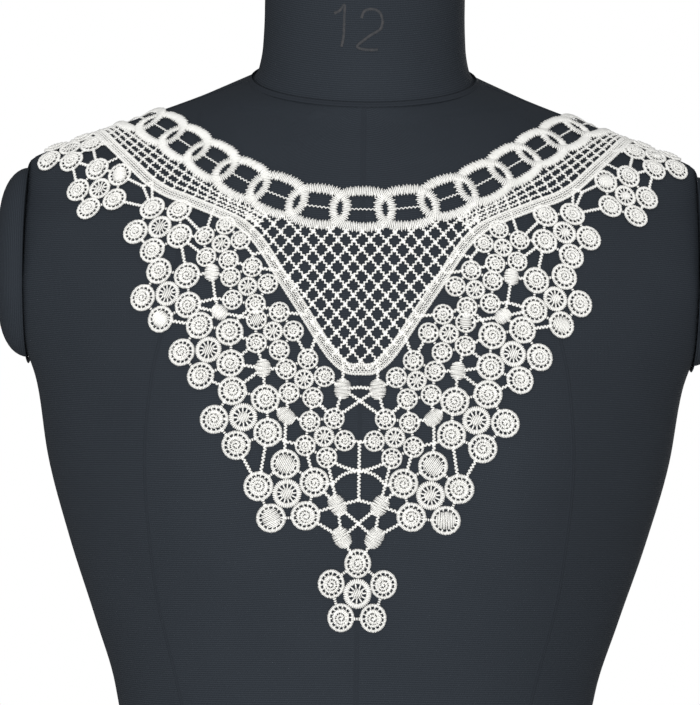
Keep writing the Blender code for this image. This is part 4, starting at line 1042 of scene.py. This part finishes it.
WHEEL_RIM_OVER, WHEEL_RIM_HIGH, WHEEL_PAD_HIGH = 0.35, 1.45, 2.3
SPOKE_OVER, SPOKE_HIGH, SPOKE_LIFT = 1.4, 0.9, 0.1
Bead = namedtuple("Bead", "name across up turn half_long half_wide")
BEADS = (
    Bead("B1", 83.2, 42.0, 90, 4.9, 4.6),
    Bead("B2", 78.3, 19.0, 40, 4.9, 4.3),
    Bead("B3", 53.6, -12.5, 90, 5.0, 4.6),
    Bead("B4", 40.6, -38.5, 40, 5.4, 4.5),
)
BEAD_HIGH, DROP_BEAD_HIGH = 2.6, 2.8
BRIDGE_BEADS = (Bead("B5", 9.7, -23.0, 90, 5.6, 4.9),)
DROP_BEADS = (
    Bead("B6", 11.7, -87.0, 60, 6.2, 4.9),
    Bead("B7", 9.0, -105.0, 60, 6.2, 5.0),
)
PENDANT = Flower("P", 0.0, -136.5, -54, 15.2, 7.6, 1.13)
Meeting = namedtuple("Meeting", "name across up")
MEETINGS = (
    Meeting("Ja", 125.2, 98.0), Meeting("Jb", 60.6, 52.6), Meeting("Jc", 81.0, 27.0),
    Meeting("Jd", 66.7, 16.7), Meeting("Je", 41.0, -52.5), Meeting("Jf", 14.5, -75.5),
    Meeting("X1", 0.0, -22.0), Meeting("X2", 0.0, -29.4), Meeting("X3", 0.0, -52.0),
    Meeting("X4", 0.0, -68.0), Meeting("X5", 0.0, -84.0), Meeting("X6", 0.0, -97.0),
    Meeting("X7", 0.0, -120.0), Meeting("T1", 138.5, 120.5), Meeting("T2", 146.0, 131.0),
    Meeting("T3", 120.0, 100.5), Meeting("T4", 83.5, 82.0), Meeting("T5", 52.5, 54.5),
    Meeting("T6", 46.0, 43.0), Meeting("T7", 30.0, 18.0), Meeting("T8", 24.0, 8.0),
    Meeting("T9", 9.5, -10.0),
)

# A bar runs between flower petals, beads and meeting points, here by name and petal number. A
# number after them is how far the bar bows to its left, in mm.
BARS = (
    "F1.3 T2", "F1.2 T2", "F1.4 F2.1", "F1.3 F2.1", "F1.4 F2.0", "F2.1 T1", "F2.2 Ja", "Ja T3",
    "Ja F3.1", "F2.3 F3.1", "F3.1 T3", "F3.2 G1.1", "F3.3 G1.1", "F3.3 G1.0", "G1.1 T4",
    "F3.3 F4.2", "F3.4 F4.1", "F4.2 B1", "B1 G1.0", "B1 G2.1", "B1 Jc", "Jc F4.3", "Jc G2.0",
    "Jc B2", "F4.3 B2", "F5.1 B2", "F4.4 F5.1", "F4.3 F5.1", "G1.3 Jb", "Jb T5", "Jb G2.2",
    "G1.4 G2.2", "G1.4 G2.1", "G2.2 T6", "B2 Jd", "Jd G3.1", "Jd F5.2", "Jd G2.4", "G2.4 G3.1",
    "G2.4 G3.2", "G3.2 T7", "F5.2 G3.0", "F5.3 G3.0", "F5.3 B3", "B3 G3.0", "B3 G4.1", "B3 F6.1",
    "B3 F6.2", "F5.4 F6.1", "G3.4 G4.1", "G3.3 G4.2", "G4.2 T8", "F6.2 G4.0", "F6.2 B4",
    "B4 G4.0", "B4 G5.1", "G4.4 G5.1", "G4.4 G5.2", "B4 Je", "Je G5.0", "Je F6.3", "Je F7.1",
    "F6.3 F7.0", "F6.4 F7.0", "F7.2 G5.0",
)
BRIDGE_BARS = ("B5 T9", "B5 X1", "B5 G4.3", "B5 X2", "X2 G5.2", "B5 G5.2")
DROP_BARS = (
    "X3 G5.3", "X3 X4", "X4 G5.4 -1.2", "X4 Jf 2.2", "Jf G5.4", "Jf F7.2", "Jf B6", "X4 X5", "X5 B6",
    "X6 B6", "X6 B7", "B6 B7", "B6 F7.2", "B6 F7.3", "B7 F7.3", "B7 X7",
)
BAR_WIDE, BAR_HIGH = 2.3, 1.25
UNDER_PETAL, UNDER_BEAD = 1.2, 1.0


def petal_centres(flower):
    angles = np.radians(flower.turn + 72.0 * np.arange(5))
    ring = flower.petal_out * np.stack([np.cos(angles), np.sin(angles)], axis=-1)
    return placed(ring * (1, flower.tall), flower.across, flower.up)


def place_and_rim(label):
    """Where a bar's end is on the pattern, and how far from there its end stays."""
    name, _, petal = label.partition(".")
    for flower in FLOWERS + (PENDANT,):
        if flower.name == name:
            return petal_centres(flower)[int(petal)], flower.petal_radius - UNDER_PETAL
    for bead in BEADS + BRIDGE_BEADS + DROP_BEADS:
        if bead.name == name:
            return np.array((bead.across, bead.up)), bead.half_wide - UNDER_BEAD
    spot = next(m for m in MEETINGS if m.name == name)
    return np.array((spot.across, spot.up)), 0.0


def bar_cords(labels):
    cords = []
    for label in labels:
        first, last, *bow = label.split()
        (start, start_rim), (end, end_rim) = place_and_rim(first), place_and_rim(last)
        whole = np.linalg.norm(true_step(start, end))
        shares = np.linspace(start_rim / whole, 1 - end_rim / whole, 12)
        line = start + (end - start) * shares[:, None]
        if bow:
            aside = np.array([start[1] - end[1], end[0] - start[0]])
            aside = aside / np.linalg.norm(end - start)
            line = line + aside * (float(bow[0]) * np.sin(np.pi * shares))[:, None]
        cords.append(Cord(line, BAR_WIDE, BAR_HIGH, BASE, False))
    return cords


def filled_oval(across, up, degrees, half_long, half_wide, high):
    """Satin stitches side by side over an oval pad: each is as long as the oval is wide there."""
    run = np.linspace(-PAD_END, PAD_END, 25)
    chord = (1 - np.abs(run) ** PAD_SQUARE) ** (1 / PAD_SQUARE)
    line = placed(np.stack([run * half_long, np.zeros(25)], axis=-1), across, up, degrees)
    height = PAD_EDGE_HIGH + (high - PAD_EDGE_HIGH) * chord
    return Cord(line, PAD_FULL * half_wide * chord, height, BASE, False)


def coil(centre, radius, tall, start, hand):
    """The cord inside a petal's rim, wound in to the middle and rising."""
    wide = PETAL_COIL * radius
    outermost = radius * (1 - PETAL_RIM) - RIM_GAP - wide / 2
    inward = np.arange(0.0, (outermost - 0.3 * wide) / (wide + COIL_GAP), COIL_STEP)
    turns = np.concatenate([np.arange(0.0, COIL_FIRST_TURN, COIL_STEP), COIL_FIRST_TURN + inward])
    wound = outermost - (turns - COIL_FIRST_TURN) * (wide + COIL_GAP)
    reach = np.minimum(outermost, wound)
    a = math.radians(start) + hand * math.tau * turns
    line = placed(np.stack([reach * np.cos(a), reach * tall * np.sin(a)], axis=-1), *centre)
    base = BASE + PETAL_DOME * (1 - (reach / radius) ** 2)
    return Cord(line, wide, PETAL_HIGH, base, False)


def circle(centre, radius, tall):
    return placed(oval(radius, radius * tall, 48), *centre)


def flower_parts(flowers, side, name):
    """The coils, pads and wheels of these flowers on one side."""
    coils, rims, ties, pads, spokes = [], [], [], [], {}
    for number, flower in enumerate(flowers):
        middle = (side * flower.across, flower.up)
        petals = petal_centres(flower) * (side, 1)
        wide = PETAL_RIM * flower.petal_radius
        for k, centre in enumerate(petals):
            inward = np.subtract(middle, centre)
            towards = math.degrees(math.atan2(inward[1], inward[0]))
            rim = circle(centre, flower.petal_radius - wide / 2, flower.tall)
            rims.append(Cord(rim, wide, PETAL_HIGH, BASE, True))
            if (flower.name, k) in PADDED_PETALS:
                pad = flower.petal_radius - wide - RIM_GAP
                pads.append(filled_oval(*centre, towards + 60, pad, pad, PETAL_PAD_HIGH))
            else:
                start = towards + 35 + 40 * ((2 * k + number) % 3)
                hand = side * (1 if (k + number) % 4 else -1)
                coils.append(coil(centre, flower.petal_radius, flower.tall, start, hand))
            after = petals[(k + 1) % 5]
            gap = (centre + after) / 2
            spot = gap + np.subtract(gap, middle) * 0.04
            step = (after - centre) / np.linalg.norm(after - centre) * TIE_HALF_LONG
            ties.append(Cord(np.array([spot - step, spot + step]), TIE_WIDE, TIE_HIGH, BASE, False))
        hub = WHEEL_HUB * flower.petal_radius
        rim_out = flower.petal_out - flower.petal_radius + WHEEL_RIM_OVER
        rim_in = WHEEL_RIM_IN * flower.petal_radius
        wheel_rim = circle(middle, (rim_out + rim_in) / 2, flower.tall)
        ties.append(Cord(wheel_rim, rim_out - rim_in, WHEEL_RIM_HIGH, BASE, True))
        pads.append(filled_oval(*middle, 20, hub, hub, WHEEL_PAD_HIGH))
        spoke_at = round((rim_in + hub) / 2, 2)
        spoke_line = circle(middle, spoke_at, flower.tall)
        spoke = Cord(spoke_line, rim_in - hub + SPOKE_OVER, SPOKE_HIGH, BASE + SPOKE_LIFT, True)
        spokes.setdefault(spoke_at, []).append(spoke)
    parts = [
        stitched(name + "_rims", rims, pitch=0.8, beat=4, reach=1.3, bold=0.1, lean=0.65,
                 ragged=0.08, seed=31),
        stitched(name + "_coils", coils, pitch=0.88, beat=2, reach=0.6, bold=0.1, ragged=0.15,
                 seed=37),
        stitched(name + "_ties", ties, pitch=0.98, beat=2, reach=0.3, seed=32),
        stitched(name + "_pads", pads, pitch=0.85, fat=0.6, ragged=0.03, seed=33),
    ]
    for spoke_at, circles in spokes.items():
        round_it = math.tau * spoke_at
        pitch = 0.97 * round_it / round(round_it / SPOKE_PITCH)
        parts.append(stitched(name + "_spokes", circles, pitch=pitch, fat=0.24, ragged=0.05, seed=34))
    return parts


def joining_parts(bars, beads, name, seed):
    """The bars and the satin beads between flowers, worked alike on every piece."""
    return [
        stitched(name + "_bars", bars, pitch=0.95, fat=0.6, zigzag=22, ragged=0.1, seed=seed),
        stitched(name + "_beads", beads, pitch=0.72, fat=0.6, ragged=0.05, seed=seed + 1),
    ]


def bead_pads(beads, high):
    return [filled_oval(b.across, b.up, b.turn, b.half_long, b.half_wide, high) for b in beads]


def mirrored(cords):
    return [cord._replace(line=cord.line * (-1, 1)) for cord in cords]


bars, beads = bar_cords(BARS), bead_pads(BEADS, BEAD_HIGH)
for side, word in ((1, "right"), (-1, "left")):
    parts = flower_parts(FLOWERS, side, word)
    if side > 0:
        parts += joining_parts(bars, beads, word, 35)
    else:
        parts += joining_parts(mirrored(bars), mirrored(beads), word, 35)
    sewn("lace_flowers_" + word, parts, "flower_panel_" + word)


# The pair of satin beads under the braid at centre front, held by crossed bars.
# They are worked in one with the rest.
bars, beads = bar_cords(BRIDGE_BARS), bead_pads(BRIDGE_BEADS, BEAD_HIGH)
bridge_parts = joining_parts(bars + mirrored(bars), beads + mirrored(beads), "bridge", 41)
sewn("lace_bead_bridge", bridge_parts, "bead_bridge")


# The drop: bars and four beads that narrow to one hanging flower at the point of the V.
# It is worked in the same thread and hangs from the lowest flowers of both panels.
bars, beads = bar_cords(DROP_BARS), bead_pads(DROP_BEADS, DROP_BEAD_HIGH)
drop_parts = flower_parts((PENDANT,), 1, "drop")
drop_parts += joining_parts(bars + mirrored(bars), beads + mirrored(beads), "drop", 43)
sewn("lace_drop", drop_parts, "pendant_drop")


# Camera, light and floor: a level close view from the front, white all round.
# The picture leans a little, as the photographed one does.
CAMERA_PLACE = (-0.0059, -1.595, 0.4273)
CAMERA_ROLL = math.radians(0.8)
LENS = 138.0
Lamp = namedtuple("Lamp", "name place size watts")
SOFT_LIGHTS = (
    Lamp("front_softbox", (-0.25, -2.10, 0.46), 0.9, 34.0),
    Lamp("top_softbox", (0.20, -0.60, 2.10), 1.4, 5.0),
    Lamp("back_softbox", (0.70, 2.10, 0.55), 1.0, 16.0),
)
LIGHT_AIM = (0.0, 0.0, 0.42)
AMBIENT = 0.32
FLOOR_RADIUS, FLOOR_DOWN = 1.2, 0.0005

camera_data = bpy.data.cameras.new("camera")
camera_data.lens = LENS
camera_data.sensor_width = 36.0
camera = bpy.data.objects.new("camera", camera_data)
camera.matrix_world = (
    Matrix.Translation(CAMERA_PLACE)
    @ Matrix.Rotation(math.radians(90), 4, "X")
    @ Matrix.Rotation(CAMERA_ROLL, 4, "Z")
)
bpy.context.scene.collection.objects.link(camera)
bpy.context.scene.camera = camera
bpy.context.scene.view_settings.view_transform = "Standard"

world = bpy.data.worlds.new("studio")
world.use_nodes = True
air = world.node_tree
seen = air.nodes["Background"]
seen.inputs["Color"].default_value = (1, 1, 1, 1)
lit = made(air, "ShaderNodeBackground", inputs={"Color": (1, 1, 1, 1), "Strength": AMBIENT})
by_ray = made(air, "ShaderNodeMixShader", inputs={
    0: made(air, "ShaderNodeLightPath").outputs["Is Camera Ray"],
    1: lit.outputs[0], 2: seen.outputs[0]})
air.links.new(by_ray.outputs[0], air.nodes["World Output"].inputs["Surface"])
bpy.context.scene.world = world

for lamp in SOFT_LIGHTS:
    data = bpy.data.lights.new(lamp.name, "AREA")
    data.energy, data.size = lamp.watts, lamp.size
    light = bpy.data.objects.new(lamp.name, data)
    way = Vector(LIGHT_AIM) - Vector(lamp.place)
    aimed = way.to_track_quat("-Z", "Y").to_matrix().to_4x4()
    light.matrix_world = Matrix.Translation(lamp.place) @ aimed
    bpy.context.scene.collection.objects.link(light)

floor_mesh = bpy.data.meshes.new("floor")
a = math.tau * np.arange(96) / 96
rim = np.stack([FLOOR_RADIUS * np.cos(a), FLOOR_RADIUS * np.sin(a), np.full(96, -FLOOR_DOWN)], axis=-1)
floor_mesh.from_pydata(rim.tolist(), [], [tuple(range(96))])
floor_paint = bpy.data.materials.new("floor_paint")
_, floor_shader = nodes_of(floor_paint)
floor_shader.inputs["Base Color"].default_value = (0.82, 0.82, 0.81, 1)
floor_shader.inputs["Roughness"].default_value = 0.8
floor_mesh.materials.append(floor_paint)
floor = bpy.data.objects.new("floor", floor_mesh)
bpy.context.scene.collection.objects.link(floor)
